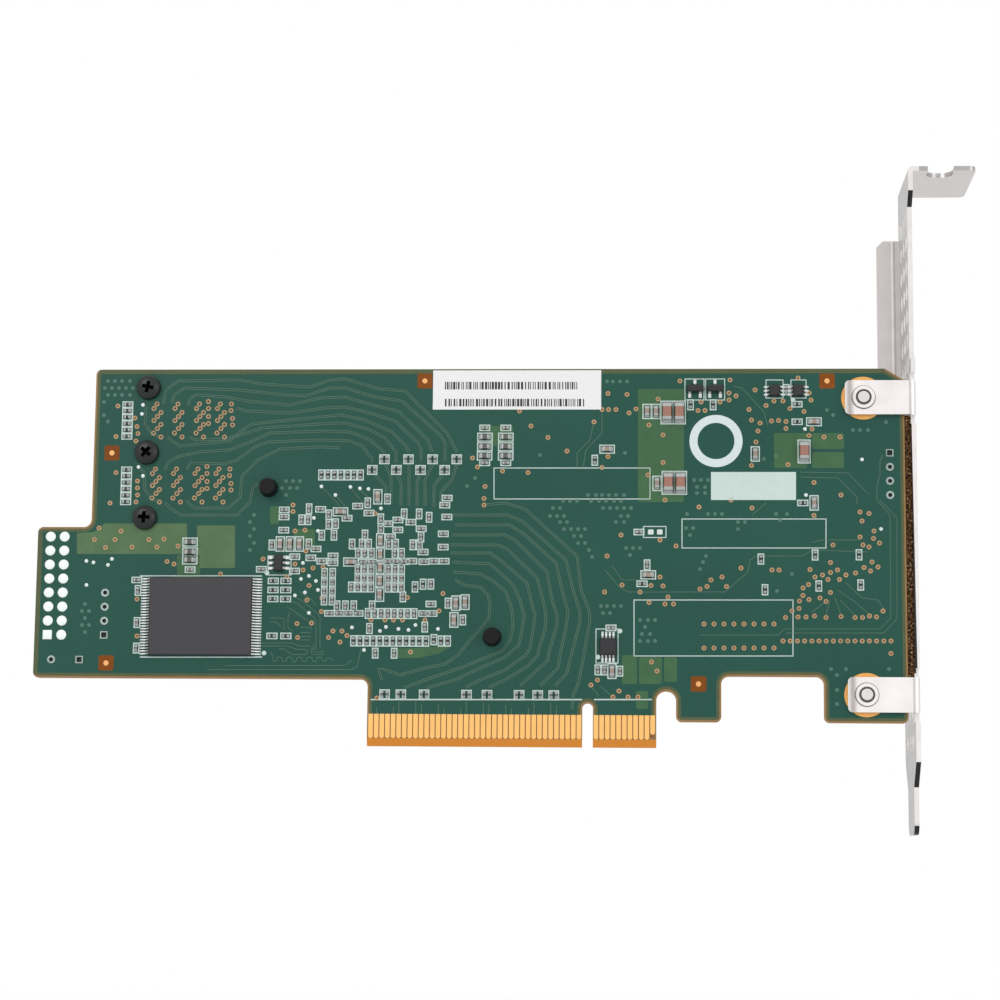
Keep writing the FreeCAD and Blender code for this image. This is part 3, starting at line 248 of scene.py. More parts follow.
centred = add_math(grain, "SUBTRACT", both, 1.0)
shade = add_math(grain, "ADD", add_math(grain, "MULTIPLY", centred, grain_in.outputs["Variation"]), 1.0)
tinted = grain.nodes.new("ShaderNodeVectorMath")
tinted.operation = "SCALE"
grain.links.new(grain_in.outputs["Color"], tinted.inputs[0])
grain.links.new(shade, tinted.inputs["Scale"])
grain.links.new(tinted.outputs["Vector"], grain_out.inputs["Color"])
rough = add_math(grain, "ADD", add_math(grain, "MULTIPLY", centred, grain_in.outputs["Spread"]),
                 grain_in.outputs["Roughness"])
grain.links.new(rough, grain_out.inputs["Roughness"])
grain.links.new(fine.outputs["Fac"], grain_out.inputs["Height"])


def new_finish(name, colour, roughness, metallic=0.0, variation=0.15, scale=900.0, spread=0.12,
               bump=0.08, depth=0.02, gloss=0.5):
    """A material with the fine grain in its colour, gloss and surface."""
    finish = bpy.data.materials.new(name)
    finish.use_nodes = True
    tree = finish.node_tree
    shader = tree.nodes["Principled BSDF"]
    shader.inputs["Metallic"].default_value = metallic
    shader.inputs["Specular IOR Level"].default_value = gloss
    speck = tree.nodes.new("ShaderNodeGroup")
    speck.node_tree = grain
    speck.inputs["Color"].default_value = (*colour[:3], 1)
    speck.inputs["Variation"].default_value = variation
    speck.inputs["Scale"].default_value = scale
    speck.inputs["Roughness"].default_value = roughness
    speck.inputs["Spread"].default_value = spread
    relief = tree.nodes.new("ShaderNodeBump")
    relief.inputs["Strength"].default_value = bump
    relief.inputs["Distance"].default_value = depth * MM
    tree.links.new(speck.outputs["Color"], shader.inputs["Base Color"])
    tree.links.new(speck.outputs["Roughness"], shader.inputs["Roughness"])
    tree.links.new(speck.outputs["Height"], relief.inputs["Height"])
    tree.links.new(relief.outputs["Normal"], shader.inputs["Normal"])
    return finish


def dress(node, finish):
    """Give a node of the model its finish."""
    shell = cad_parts[node].data
    shell.materials.clear()
    shell.materials.append(finish)


def grain_of(finish):
    """The node of the fine grain in a finish."""
    return [node for node in finish.node_tree.nodes if node.type == "GROUP"][0]


board_finish = new_finish("board_mask", mask_green, 0.42, variation=0.16, scale=1400, spread=0.10,
                          gloss=0.25)
tree = board_finish.node_tree
face = tree.nodes.new("ShaderNodeNewGeometry")
axes = tree.nodes.new("ShaderNodeSeparateXYZ")
tree.links.new(face.outputs["True Normal"], axes.inputs[0])
tilt = add_math(tree, "ABSOLUTE", axes.outputs["Y"], 0)
flat = add_math(tree, "GREATER_THAN", tilt, flat_from)
sloped = add_math(tree, "GREATER_THAN", tilt, bevel_from)
spot = tree.nodes.new("ShaderNodeTexCoord")
layers = tree.nodes.new("ShaderNodeTexWave")
layers.bands_direction = "Y"
layers.inputs["Scale"].default_value = layer_scale
layers.inputs["Distortion"].default_value = layer_waver
layers.inputs["Detail"].default_value = 2
tree.links.new(spot.outputs["Object"], layers.inputs["Vector"])
patch = tree.nodes.new("ShaderNodeTexNoise")
patch.inputs["Scale"].default_value = patch_scale
patch.inputs["Detail"].default_value = 2
tree.links.new(spot.outputs["Object"], patch.inputs["Vector"])
speck = grain_of(board_finish)
green = mixed(tree, patch.outputs["Fac"], mask_green, mask_green_deep)
tree.links.new(green, speck.inputs["Color"])
edge = mixed(tree, layers.outputs["Fac"], laminate_brown, laminate_dark)
bare = mixed(tree, sloped, edge, bevel_orange)
whole = mixed(tree, flat, bare, speck.outputs["Color"])
tree.links.new(whole, tree.nodes["Principled BSDF"].inputs["Base Color"])
dress("circuit_board", board_finish)


# Bare border
# The mask stops short of the routed outline, so a narrow border of brown laminate is left bare along
# the edges of both faces but the top and the tail's end, and the mask beside it is thin. Round the
# holes it is whole.
border_width = 0.33
border_lift = 0.012
border_brown = (0.28, 0.155, 0.048)
thin_mask_width = 0.85
thin_mask_lift = 0.006
thin_mask_olive = (0.085, 0.105, 0.045)
pin_head_half = 2.9
pin_clear = 3.5
hole_clear = 1.3
hole_pitch = 2.54
hole_places = [(-86.9, 19.55 + hole_pitch * step) for step in range(4)]
hole_places += [(53.7, 45.15 + hole_pitch * step) for step in range(4)]
hole_places += [(-96.3, 15.1), (-91.22, 15.1)]
weld_reach = 0.001


def activate(piece):
    """Make one piece the only selected and active one."""
    bpy.ops.object.select_all(action="DESELECT")
    piece.select_set(True)
    bpy.context.view_layer.objects.active = piece


def edit_all():
    """Open the active piece for editing, with all of it selected."""
    bpy.ops.object.mode_set(mode="EDIT")
    bpy.ops.mesh.select_all(action="SELECT")


def finished(piece, name, finishes):
    """Name a modelled piece, give it its finishes and let it ride on the card."""
    piece.name = name
    piece.data.name = name
    if finishes:
        piece.data.materials.clear()
        for finish in finishes:
            piece.data.materials.append(finish)
    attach(piece, "root")
    return piece


def copy_of(node):
    """A loose copy of a node of the model, with its triangles merged."""
    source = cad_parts[node]
    copy = bpy.data.objects.new(node + "_copy", source.data.copy())
    bpy.context.collection.objects.link(copy)
    activate(copy)
    edit_all()
    bpy.ops.mesh.remove_doubles(threshold=weld_reach * MM)
    bpy.ops.object.mode_set(mode="OBJECT")
    return copy


def keep_faces(piece, test):
    """Delete the faces of a piece whose middle and normal fail a test."""
    activate(piece)
    bpy.ops.object.mode_set(mode="EDIT")
    bpy.ops.mesh.select_mode(type="FACE")
    bpy.ops.object.mode_set(mode="OBJECT")
    for polygon in piece.data.polygons:
        polygon.select = not test(polygon.center, polygon.normal)
    bpy.ops.object.mode_set(mode="EDIT")
    bpy.ops.mesh.delete(type="FACE")
    bpy.ops.object.mode_set(mode="OBJECT")


pin_low, pin_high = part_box("push_pins")
head_half = pin_head_half * MM
pin_centres = [Vector((pin_low.x + head_half, 0, pin_high.z - head_half)),
               Vector((pin_high.x - head_half, 0, pin_low.z + head_half))]


def away_from_holes(middle, normal):
    """Whether a face lies clear of the push pins' holes and of the open holes."""
    clear_of_pins = all(math.hypot(middle.x - pin.x, middle.z - pin.z) > pin_clear * MM
                        for pin in pin_centres)
    return clear_of_pins and all(math.hypot(middle.x / MM - x, middle.z / MM - z) > hole_clear
                                 for x, z in hole_places)


laminate_finish = new_finish("bare_laminate", border_brown, 0.5, variation=0.35, scale=700, spread=0.1)
thin_mask_finish = new_finish("thin_mask", thin_mask_olive, 0.45, variation=0.3, scale=700, spread=0.1,
                              gloss=0.3)
card_low, card_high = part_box("circuit_board")
for side, face_name in ((-1, "solder_side"), (1, "component_side")):
    for kind, width, lift, finish in (("_border", border_width, border_lift, laminate_finish),
                                      ("_thin_mask", thin_mask_width, thin_mask_lift, thin_mask_finish)):
        border = copy_of("circuit_board")
        keep_faces(border, lambda middle, normal: normal.y * side > flat_from)
        edit_all()
        bpy.ops.mesh.inset(thickness=width * MM, use_boundary=True, use_even_offset=True)
        bpy.ops.mesh.delete(type="FACE")
        bpy.ops.mesh.select_all(action="SELECT")
        bpy.ops.transform.translate(value=(0, side * lift * MM, 0))
        bpy.ops.object.mode_set(mode="OBJECT")
        keep_faces(border, away_from_holes)
        if kind == "_border":
            keep_faces(border, lambda middle, normal: middle.z < card_high.z - border_width * MM
                       and middle.x > card_low.x + border_width * MM)
        finished(border, face_name + kind, [finish])


# Copper pours
# Patches of copper under the mask for the supplies and the shields. They lift the mask a little and
# make it lighter and yellower.
pour_green = (0.052, 0.136, 0.060, 1)
tail_pour_green = (0.088, 0.168, 0.075, 1)
pour_lift = 0.008
pour_corner = 0.35
tail_pour_corner = 0.2
tail_pours = [[(77, 554), (187, 554), (187, 523.5), (104, 523.5), (100, 529), (93, 532), (77, 533)],
              [(197, 568), (235, 568), (235, 525.5), (197, 525.5)]]
pour_boxes = [(177, 555, 200, 578), (638, 389, 684, 502), (774, 433, 807, 468), (812, 433, 844, 449),
              (812, 452, 844, 468), (622, 655, 637, 684), (639, 657, 662, 684), (664, 657, 677, 682),
              (294, 529, 315, 546), (270, 506, 279, 524), (486, 426, 513, 446), (636, 691, 648, 709)]
pour_wedges = [[(392, 649), (452, 646), (438, 654), (418, 658), (396, 658)]]


def outline_through(points):
    """A flat face through points, open for editing and selected."""
    bpy.ops.object.select_all(action="DESELECT")
    bpy.ops.mesh.primitive_circle_add(vertices=len(points), radius=1, fill_type="NGON")
    piece = bpy.context.object
    for vertex, point in zip(piece.data.vertices, points):
        vertex.co = point
    edit_all()
    return piece


def raise_faces(height):
    """Extrude the selected faces towards the solder side."""
    bpy.ops.mesh.extrude_region_move(TRANSFORM_OT_translate={"value": (0, -height, 0)})


def close_solid():
    """Turn all faces of the edited piece outwards and end the editing."""
    bpy.ops.mesh.select_all(action="SELECT")
    bpy.ops.mesh.normals_make_consistent(inside=False)
    bpy.ops.object.mode_set(mode="OBJECT")


def flat_plate(name, corners, lift, rounding=0.0):
    """A thin plate on the solder face through corners that are places in the picture."""
    plate = outline_through(all_on_card(corners))
    if rounding:
        bpy.ops.mesh.bevel(offset=rounding * MM, segments=4, affect="VERTICES")
        bpy.ops.mesh.select_all(action="SELECT")
    raise_faces(lift * MM)
    close_solid()
    plate.name = name
    return plate


def joined(pieces):
    """Join pieces into the first of them."""
    bpy.ops.object.select_all(action="DESELECT")
    for piece in pieces:
        piece.select_set(True)
    bpy.context.view_layer.objects.active = pieces[0]
    if len(pieces) > 1:
        bpy.ops.object.join()
    return pieces[0]


def box_corners(left, top, right, bottom):
    """The four corners of an upright box in the picture."""
    return [(left, bottom), (right, bottom), (right, top), (left, top)]


pour_finish = new_finish("pour_mask", pour_green, 0.45, variation=0.35, scale=500, spread=0.1, gloss=0.25)
pours = [flat_plate("pour", box_corners(*box), pour_lift, pour_corner) for box in pour_boxes]
pours += [flat_plate("pour", corners, pour_lift) for corners in pour_wedges]
finished(joined(pours), "copper_pours", [pour_finish])
tail_pour_finish = new_finish("tail_pour_mask", tail_pour_green, 0.45, variation=0.35, scale=500,
                              spread=0.1, gloss=0.25)
tail_plates = [flat_plate("pour", corners, pour_lift, tail_pour_corner) for corners in tail_pours]
finished(joined(tail_plates), "tail_pours", [tail_pour_finish])


# Traces
# Copper lines under the mask: pairs from the ports over the top to the coupling capacitors, pairs from
# the controller round a push pin to the edge connector, and single lines at the bracket's end.
trace_grey = (0.080, 0.172, 0.122, 1)
pair_line = 0.23
pair_gap = 0.34
single_line = 0.22
trace_rise = 0.02
stub_steps = range(2, 38)
stub_start = 1.5
stub_reach = 1.2
stub_reach_step = 0.5
port_pairs = [
    [(163, 404), (166, 390), (178, 381), (240, 380), (262, 384), (310, 387), (330, 380), (345, 379),
     (380, 389), (405, 391), (447, 433), (457, 452)],
    [(172, 403), (174, 395), (185, 388), (240, 390), (285, 395), (305, 396), (330, 388), (345, 388),
     (375, 397), (402, 401), (440, 435), (445, 442), (445, 462)],
    [(188, 405), (190, 399), (196, 395), (225, 397), (247, 401), (290, 405), (320, 398), (345, 397),
     (372, 405), (398, 411), (428, 440), (432, 452)],
    [(236, 408), (246, 411), (290, 413), (325, 408), (345, 407), (370, 413), (395, 421), (418, 443),
     (421, 449), (421, 462)],
    [(167, 437), (172, 441), (180, 446), (230, 441), (240, 432), (252, 424), (290, 420), (340, 415),
     (365, 420), (392, 432), (405, 445), (409, 452)],
    [(190, 437), (196, 440), (225, 439), (247, 433), (262, 428), (320, 424), (345, 423), (370, 430),
     (385, 438), (396, 452), (396, 463)],
    [(165, 470), (168, 462), (180, 456), (200, 452), (230, 450), (250, 442), (270, 433), (325, 431),
     (350, 432), (370, 440), (385, 453)],
    [(187, 470), (190, 463), (225, 464), (237, 460), (255, 447), (268, 442), (320, 440), (350, 441),
     (362, 446), (372, 459), (372, 463)], [(143, 405), (146, 408), (145, 424), (152, 434), (160, 437)],
    [(138, 467), (144, 472), (145, 490), (152, 499), (160, 502)],
    [(187, 500), (190, 505), (195, 508), (228, 508), (240, 498), (242, 476), (258, 460), (280, 449),
     (320, 447), (340, 448)],
    [(165, 503), (170, 508), (181, 515), (237, 515), (250, 502), (253, 487), (259, 484)]]
slot_pairs = [
    [(484, 505), (505, 503), (525, 509), (577, 556), (581, 590), (589, 610), (590, 620), (583, 660),
     (578, 685), (573, 695), (572, 709)],
    [(452, 515), (507, 515), (522, 521), (566, 560), (573, 590), (580, 612), (580, 622), (570, 660),
     (567, 673), (555, 686)],
    [(455, 525), (510, 525), (525, 535), (556, 563), (562, 590), (568, 612), (566, 628), (560, 655),
     (558, 668), (540, 686)],
    [(452, 535), (505, 535), (515, 540), (547, 572), (552, 600), (557, 615), (557, 625), (549, 652),
     (548, 660), (520, 686)],
    [(450, 545), (498, 545), (507, 549), (537, 578), (543, 600), (546, 615), (545, 630), (540, 645),
     (538, 655), (528, 666), (505, 680), (489, 687)],
    [(450, 553), (490, 553), (500, 560), (527, 583), (532, 605), (535, 615), (533, 630), (530, 648),
     (526, 655), (505, 670), (480, 680), (466, 687)],
    [(452, 562), (490, 564), (497, 570), (513, 585), (520, 600), (524, 615), (522, 630), (519, 645),
     (505, 657), (480, 668), (455, 680), (426, 688)],
    [(453, 572), (480, 574), (492, 580), (506, 592), (512, 610), (513, 625), (510, 640), (503, 650),
     (480, 660), (460, 668), (425, 680), (404, 688)],
    [(455, 580), (464, 585), (480, 587), (488, 595), (490, 605), (489, 618), (480, 630), (470, 640),
     (458, 655), (445, 664), (425, 668), (400, 675), (386, 670), (378, 668), (382, 680)]]
pair_drops = [
    [(372, 471), (386, 487), (386, 503)], [(385, 463), (391, 478), (391, 503)],
    [(396, 471), (401, 483), (401, 506)], [(409, 463), (409, 506)], [(421, 471), (417, 483), (417, 506)],
    [(433, 463), (425, 480), (425, 506)], [(445, 471), (434, 486), (434, 507)],
    [(457, 463), (452, 480), (441, 492), (441, 506)]]
single_traces = [
    [(800, 472), (848, 473), (868, 494)], [(800, 477), (838, 478), (857, 497), (857, 504)],
    [(883, 455), (880, 461), (880, 475), (877, 485), (877, 500), (890, 515), (891, 618), (880, 629),
     (785, 629), (778, 635), (700, 635)], [(880, 500), (897, 518), (897, 619), (884, 633), (786, 633)],
    [(605, 570), (620, 588), (628, 592), (725, 592), (748, 572), (750, 560), (757, 556), (803, 556),
     (812, 550), (868, 552)], [(612, 566), (622, 580), (640, 580)], [(812, 543), (820, 540), (860, 540)],
    [(602, 412), (602, 433), (586, 450), (583, 468)], [(593, 425), (590, 440), (577, 453), (577, 468)],
    [(828, 600), (812, 612)], [(830, 600), (826, 615)], [(835, 598), (841, 615)],
    [(840, 600), (850, 610), (856, 616)], [(838, 590), (855, 602), (870, 615)],
    [(845, 582), (862, 598), (878, 600), (884, 609)], [(733, 386), (742, 388), (764, 412), (768, 426)],
    [(752, 515), (766, 503)], [(600, 686), (607, 692), (616, 700)], [(588, 684), (598, 694), (598, 700)],
    [(322, 487), (340, 506)], [(335, 495), (345, 506)], [(350, 487), (362, 502)], [(360, 489), (372, 501)],
    [(207, 669.5), (352, 669.5), (357, 667), (359.5, 656), (361, 648)],
    [(225, 665.5), (345, 665.5), (352, 660)], [(312, 646), (312, 654.5), (324, 654.5)],
    [(314, 644), (314, 652), (324, 652)], [(288, 600), (297, 603), (312, 616), (316, 620), (316, 650)],
    [(286, 607), (291, 609), (308, 621)], [(297, 598), (304, 602), (318, 614), (320, 618), (320, 648)],
    [(300, 592), (312, 600), (316, 606)], [(290, 612), (288, 616), (288, 628), (292, 631)],
    [(270, 618), (284, 618), (284, 630)], [(270, 622), (276, 622), (281, 627)],
    [(300, 627.3), (310, 627.3), (312, 629)], [(300, 632.5), (311, 632.5)], [(300, 636.5), (311, 636.5)],
    [(300, 640), (310, 640)], [(262, 643), (291, 643), (300, 646), (310, 646)],
    [(262, 646), (288, 646), (296, 649.3), (305, 649.3), (308, 651), (306, 654.5), (292, 654.5),
     (283, 648.5), (279, 649)],
    [(270, 652), (272.5, 655), (273, 661), (276, 661.5), (277, 658), (279.5, 656.8), (282, 658),
     (283, 661.5), (286, 661.5), (287, 658), (289.5, 656.8), (292, 658), (293, 661.5), (296, 661.5),
     (297, 658), (299.5, 656.8), (302, 658), (303, 661.5), (306, 661.5), (307, 658), (309.5, 656.8),
     (312, 658), (313, 661.5), (316, 661.5), (317, 658), (319.5, 656.8), (322, 658), (323, 661.5),
     (326, 661), (327, 658), (330, 658), (333, 661)]]


def beside(line, offset):
    """A line of points on the card moved sideways by some millimetres."""
    moved = []
    for number, point in enumerate(line):
        before = line[max(number - 1, 0)]
        after = line[min(number + 1, len(line) - 1)]
        along = (after - before).normalized()
        moved.append(point + Vector((-along.z, 0, along.x)) * offset * MM)
    return moved


def pair_of(line):
    """The two lines of a pair on both sides of its middle line."""
    return [beside(line, -pair_gap / 2), beside(line, pair_gap / 2)]


def swept(name, lines, width, roundness=0, closed=False):
    """Strands of one width in millimetres along lines of points, as one mesh."""
    curve = bpy.data.curves.new(name, "CURVE")
    curve.dimensions = "3D"
    curve.bevel_depth = width * MM / 2
    curve.bevel_resolution = roundness
    curve.use_fill_caps = True
    for line in lines:
        spline = curve.splines.new("POLY")
        spline.points.add(len(line) - 1)
        spline.use_cyclic_u = closed
        for point, place in zip(spline.points, line):
            point.co = (*place, 1)
    strand = bpy.data.objects.new(name, curve)
    bpy.context.collection.objects.link(strand)
    activate(strand)
    bpy.ops.object.convert(target="MESH")
    return bpy.context.object


def strokes(name, lines, width, rise, closed=False, level=solder_face):
    """Low flat strokes along lines of points on one face of the card, as one mesh."""
    stroke = swept(name, lines, width, closed=closed)
    for vertex in stroke.data.vertices:
        vertex.co.y = level + (vertex.co.y - level) * 2 * rise / width
    return stroke


trace_finish = new_finish("trace_mask", trace_grey, 0.42, variation=0.15, scale=900, spread=0.1, gloss=0.25)
pair_lines = []
for pair in port_pairs + slot_pairs + pair_drops:
    pair_lines += pair_of(all_on_card(pair))
finished(strokes("pair_traces", pair_lines, pair_line, trace_rise), "pair_traces", [trace_finish])
single_lines = [all_on_card(line) for line in single_traces]
contact_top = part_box("solder_side_contacts")[1].z
for step in stub_steps:
    across = -(stub_start + step) * MM
    if step % 4 in (0, 1):
        reach = (stub_reach + stub_reach_step * (step % 3)) * MM
        single_lines.append([Vector((across, solder_face, contact_top)),
                             Vector((across, solder_face, contact_top + reach))])
finished(strokes("single_traces", single_lines, single_line, trace_rise), "single_traces", [trace_finish])


# Vias
# Plated holes through the card: most have a bare copper ring, the pins of the ports stand in a field of
# smaller ones, the tented ones show as pale dots, and some are capped with tin as test points. Each size
# is a radius, a lift, a bore and a sink of the middle.
ring_copper = (0.47, 0.305, 0.165, 1)
barrel_olive = (0.17, 0.090, 0.034, 1)
barrel_dark = (0.060, 0.052, 0.030, 1)
tented_green = (0.085, 0.185, 0.140, 1)
bright_tin = (0.66, 0.72, 0.70, 1)
bore_play = 1.01
ring_via = (0.44, 0.035, 0.21, 0.015)
pin_via = (0.45, 0.04, 0.25, 0.03)
tented_via = (0.36, 0.03, 0.15, 0.01)
tented_sides = 8
test_point = (0.33, 0.05, 0.20, -0.02)
ring_vias = [
    (118, 406), (135, 418), (137, 426.5), (138, 433.5), (116, 436.5), (136, 441), (116, 472.5),
    (137.5, 481), (137.5, 488), (137.5, 495), (136, 502), (110, 503), (99, 528), (121, 531), (94.5, 539.5),
    (115, 539.5), (105.5, 547.5), (132, 547), (149, 539.5), (164, 539), (157, 547), (178, 546),
    (167, 561.5), (174, 564), (137, 599), (137, 636), (220.5, 574), (293, 505), (293, 511.5), (295, 531),
    (305, 530), (263, 559), (295, 564), (303, 570), (313, 568), (323, 567), (306, 551), (287, 577),
    (309, 585.5), (307, 600), (322, 598), (321.5, 611.5), (297, 623.5), (311.5, 623), (333, 631),
    (342, 631), (328.5, 637.5), (347, 635.5), (340, 642), (297.5, 637.5), (375, 513.5), (407.5, 597.5),
    (443, 593.5), (439, 611), (371, 620), (385, 620), (393.5, 620), (402.5, 620), (425, 620), (410.5, 652),
    (377, 698), (519.5, 411), (531, 426), (548, 437.5), (567, 451), (594, 422), (608, 393.5), (627, 394.5),
    (602, 409.5), (608.5, 409.5), (616, 409.5), (629, 413), (636, 409), (608, 456.5), (602, 467.5),
    (472.5, 458), (477.5, 467), (502.5, 471), (528, 472.5), (485, 486.5), (484, 498.5), (484, 505),
    (621, 535), (607, 556), (680, 381), (730, 380), (729, 393), (736, 396), (729, 400), (658, 399),
    (649, 425), (663, 435), (663, 462.5), (648, 475), (665, 500), (701, 402), (698, 410.5), (705, 410.5),
    (720, 402), (699, 507), (731, 500), (752, 508), (798, 378), (755, 390), (809, 393), (811, 400),
    (774, 401), (783, 401), (766, 405.5), (749, 409.5), (790, 408.5), (804, 411.5), (751.5, 420),
    (771.5, 421), (778.5, 420.5), (786, 421.5), (760, 423), (786, 428.5), (758, 431), (812, 429),
    (809, 435.5), (824, 437), (840, 437), (756, 442), (788, 464.5), (751.5, 465.5), (814, 482.5),
    (841, 495), (814, 515.5), (860, 512), (869, 513.5), (862, 521), (874, 531), (860, 537), (873.5, 538.5),
    (863, 545), (869, 547), (879.5, 543), (833, 545), (660, 540), (676, 546), (660, 577), (651, 585.5),
    (622, 585), (663, 586), (604.5, 592), (640, 592), (668, 597), (649, 602.5), (665, 604), (673.5, 604),
    (741, 568), (722, 577), (711, 580), (707, 586.5), (700, 589), (726.5, 586.5), (651.5, 662), (657, 671),
    (597.5, 680), (591, 685), (619, 691), (613, 697), (628, 697), (638, 697), (772, 570), (779, 570),
    (810, 569.5), (830.5, 562.5), (822.5, 575), (815, 577), (830.5, 572.5), (837.5, 570), (828, 579.5),
    (839.5, 579.5), (846, 575), (855.5, 573), (864, 567.5), (872, 562), (878, 567), (870.5, 571),
    (808.5, 584.5), (803, 588), (803, 595.5), (809, 599.5), (799.5, 601), (820, 598), (826, 601.5),
    (830.5, 592.5), (799, 608.5), (792, 611), (785.5, 617.5), (798, 617), (806, 617), (814.5, 616),
    (826, 617.5), (841, 616.5), (855, 617.5), (862.5, 617.5), (869.5, 616), (876.5, 617), (883, 611),
    (891, 653.5)]
ring_vias += [(783 + 7.2 * step, 641) for step in range(16)]
ring_vias += [(704 + 10 * step, down) for step in range(8) for down in (624, 648)]
pin_column = [(157, 404), (154, 408.5), (161, 412.5), (157.5, 416.5), (154, 420.5), (161, 424.5),
              (157.5, 428.5), (153.5, 433), (161, 437)]
pin_columns = (0, 21, 42.5, 63.5)
pin_extras = [(208.5, 401.5), (208.5, 408.5), (208.5, 416.5), (208.5, 423.5), (231.5, 404), (231, 410.5),
              (232.5, 418.5), (232.5, 425)]
lower_port_shift = (-1.5, 65)
tented_vias = [
    (108, 381), (115, 381), (122, 381), (130, 381), (105, 388), (112, 388), (119, 388), (126, 388),
    (133, 388), (108, 395), (115, 395), (122, 395), (130, 395), (104, 402), (104, 415), (108, 421.5),
    (85, 604), (82, 611), (89, 611), (85, 618), (82, 625), (89, 625), (85, 632), (286, 481), (293, 481),
    (300, 481), (282, 488), (290, 488), (297, 488), (286, 495), (254, 515), (250, 522), (254, 529),
    (250, 536), (254, 543), (250, 550), (607, 381.5), (613, 381.5), (620, 381.5), (627, 381.5), (588, 495),
    (596, 495), (602, 495), (609, 495), (616, 495), (624, 495), (563, 501), (570, 501), (577, 501),
    (591, 501), (599, 501), (606, 501), (614, 501), (621, 501), (603, 508), (610, 508), (617, 508),
    (624, 508), (631, 508), (553, 508), (560, 508), (550, 516), (557, 516), (564, 516), (621, 516),
    (628, 516), (560, 522), (567, 522), (616, 522), (624, 522), (564, 529), (571, 529), (578, 529),
    (585, 529), (574, 536), (581, 536), (578, 543), (585, 543), (589, 550), (592, 557), (626, 548),
    (633, 548), (640, 548), (630, 555), (601, 606), (607, 606), (614, 606), (621, 606), (603, 613),
    (610, 613), (640, 620), (648, 620), (655, 620), (645, 627), (642, 634), (650, 634), (640, 641),
    (648, 641), (655, 641), (694, 480), (701, 480), (708, 480), (697, 487), (705, 487), (697, 493),
    (705, 493), (708, 514), (715, 514), (722, 514), (687, 514), (686, 528), (693, 528), (690, 535),
    (738, 522), (745, 522), (738, 529), (776, 514), (780, 520), (787, 514), (776, 456), (853, 430),
    (860, 430), (868, 430), (831, 669), (837, 675), (846, 669), (837, 690), (837, 704), (889, 669),
    (827, 410), (833, 415), (886, 422), (792, 574), (777, 591), (706, 556), (703, 562), (700, 569),
    (764, 459), (625, 453), (540, 455), (475, 478), (467, 486)]
test_points = [
    (143, 405), (142, 414), (138.5, 467), (143, 476), (86.5, 561), (93.5, 562.5), (112, 559), (108, 565),
    (86.5, 585), (321.5, 486.5), (350.5, 487), (360, 488.5), (368.5, 489), (335.5, 495), (381, 508.5),
    (314, 518), (318, 531), (303, 563), (309, 576), (301, 579), (316, 581), (318, 590), (305, 592.5),
    (295, 595.5), (309, 613), (352, 627.5), (380, 631), (386, 627), (398.5, 629), (408.5, 630),
    (415.5, 625), (438, 629), (364, 650), (805, 429), (862, 459.5), (806, 495), (881, 529)]


def disc(sides, radius):
    """A flat disc round the origin that faces the solder side."""
    bpy.ops.object.select_all(action="DESELECT")
    bpy.ops.mesh.primitive_circle_add(vertices=sides, radius=radius * MM, fill_type="NGON",
                                      rotation=(math.pi / 2, 0, 0))
    bpy.ops.object.transform_apply(location=True, rotation=True, scale=True)
    return bpy.context.object


def round_land(radius, lift, bore, sink, finishes, sides=12):
    """One round land on the solder face, modelled at the origin, with a sunk round middle."""
    land = disc(sides, radius)
    edit_all()
    raise_faces(lift * MM)
    bpy.ops.mesh.inset(thickness=(radius - bore) * MM)
    bpy.ops.transform.translate(value=(0, sink * MM, 0))
    bpy.ops.object.mode_set(mode="OBJECT")
    for finish in finishes:
        land.data.materials.append(finish)
    for polygon in land.data.polygons:
        inner = all(land.data.vertices[corner].co.xz.length < bore * MM * bore_play
                    for corner in polygon.vertices)
        polygon.material_index = 1 if inner and polygon.normal.y < 0 else 0
    return land


def stamped(master, name, places):
    """Copies of one modelled piece at places that are points or matrices, as one piece."""
    copies = []
    for place in places:
        if isinstance(place, Vector):
            place = Matrix.Translation(place)
        copy = bpy.data.objects.new(name, master.data.copy())
        copy.data.transform(place)
        bpy.context.collection.objects.link(copy)
        copies.append(copy)
    whole = joined(copies)
    bpy.data.objects.remove(master)
    return finished(whole, name, [])


copper_finish = new_finish("via_copper", ring_copper, 0.42, metallic=0.1, variation=0.4, scale=1200,
                           gloss=0.3)
olive_finish = new_finish("via_barrel", barrel_olive, 0.5, variation=0.3, scale=2500, gloss=0.3)
dark_finish = new_finish("open_barrel", barrel_dark, 0.6, variation=0.2, scale=2500)
tented_finish = new_finish("tented_mask", tented_green, 0.45, variation=0.3, scale=1500, gloss=0.25)
tin_finish = new_finish("bright_tin", bright_tin, 0.36, metallic=0.4, variation=0.12, scale=1800)

stamped(round_land(*ring_via, [copper_finish, olive_finish]), "ring_vias", all_on_card(ring_vias))
pin_places = [(across + step, down) for step in pin_columns for across, down in pin_column] + pin_extras
pin_places += [(across + lower_port_shift[0], down + lower_port_shift[1]) for across, down in pin_places]
stamped(round_land(*pin_via, [copper_finish, dark_finish]), "port_pin_vias",
        all_on_card(pin_places))
stamped(round_land(*tented_via, [tented_finish, tented_finish], tented_sides), "tented_vias",
        all_on_card(tented_vias))
stamped(round_land(*test_point, [tin_finish, tin_finish]), "test_points",
        all_on_card(test_points))


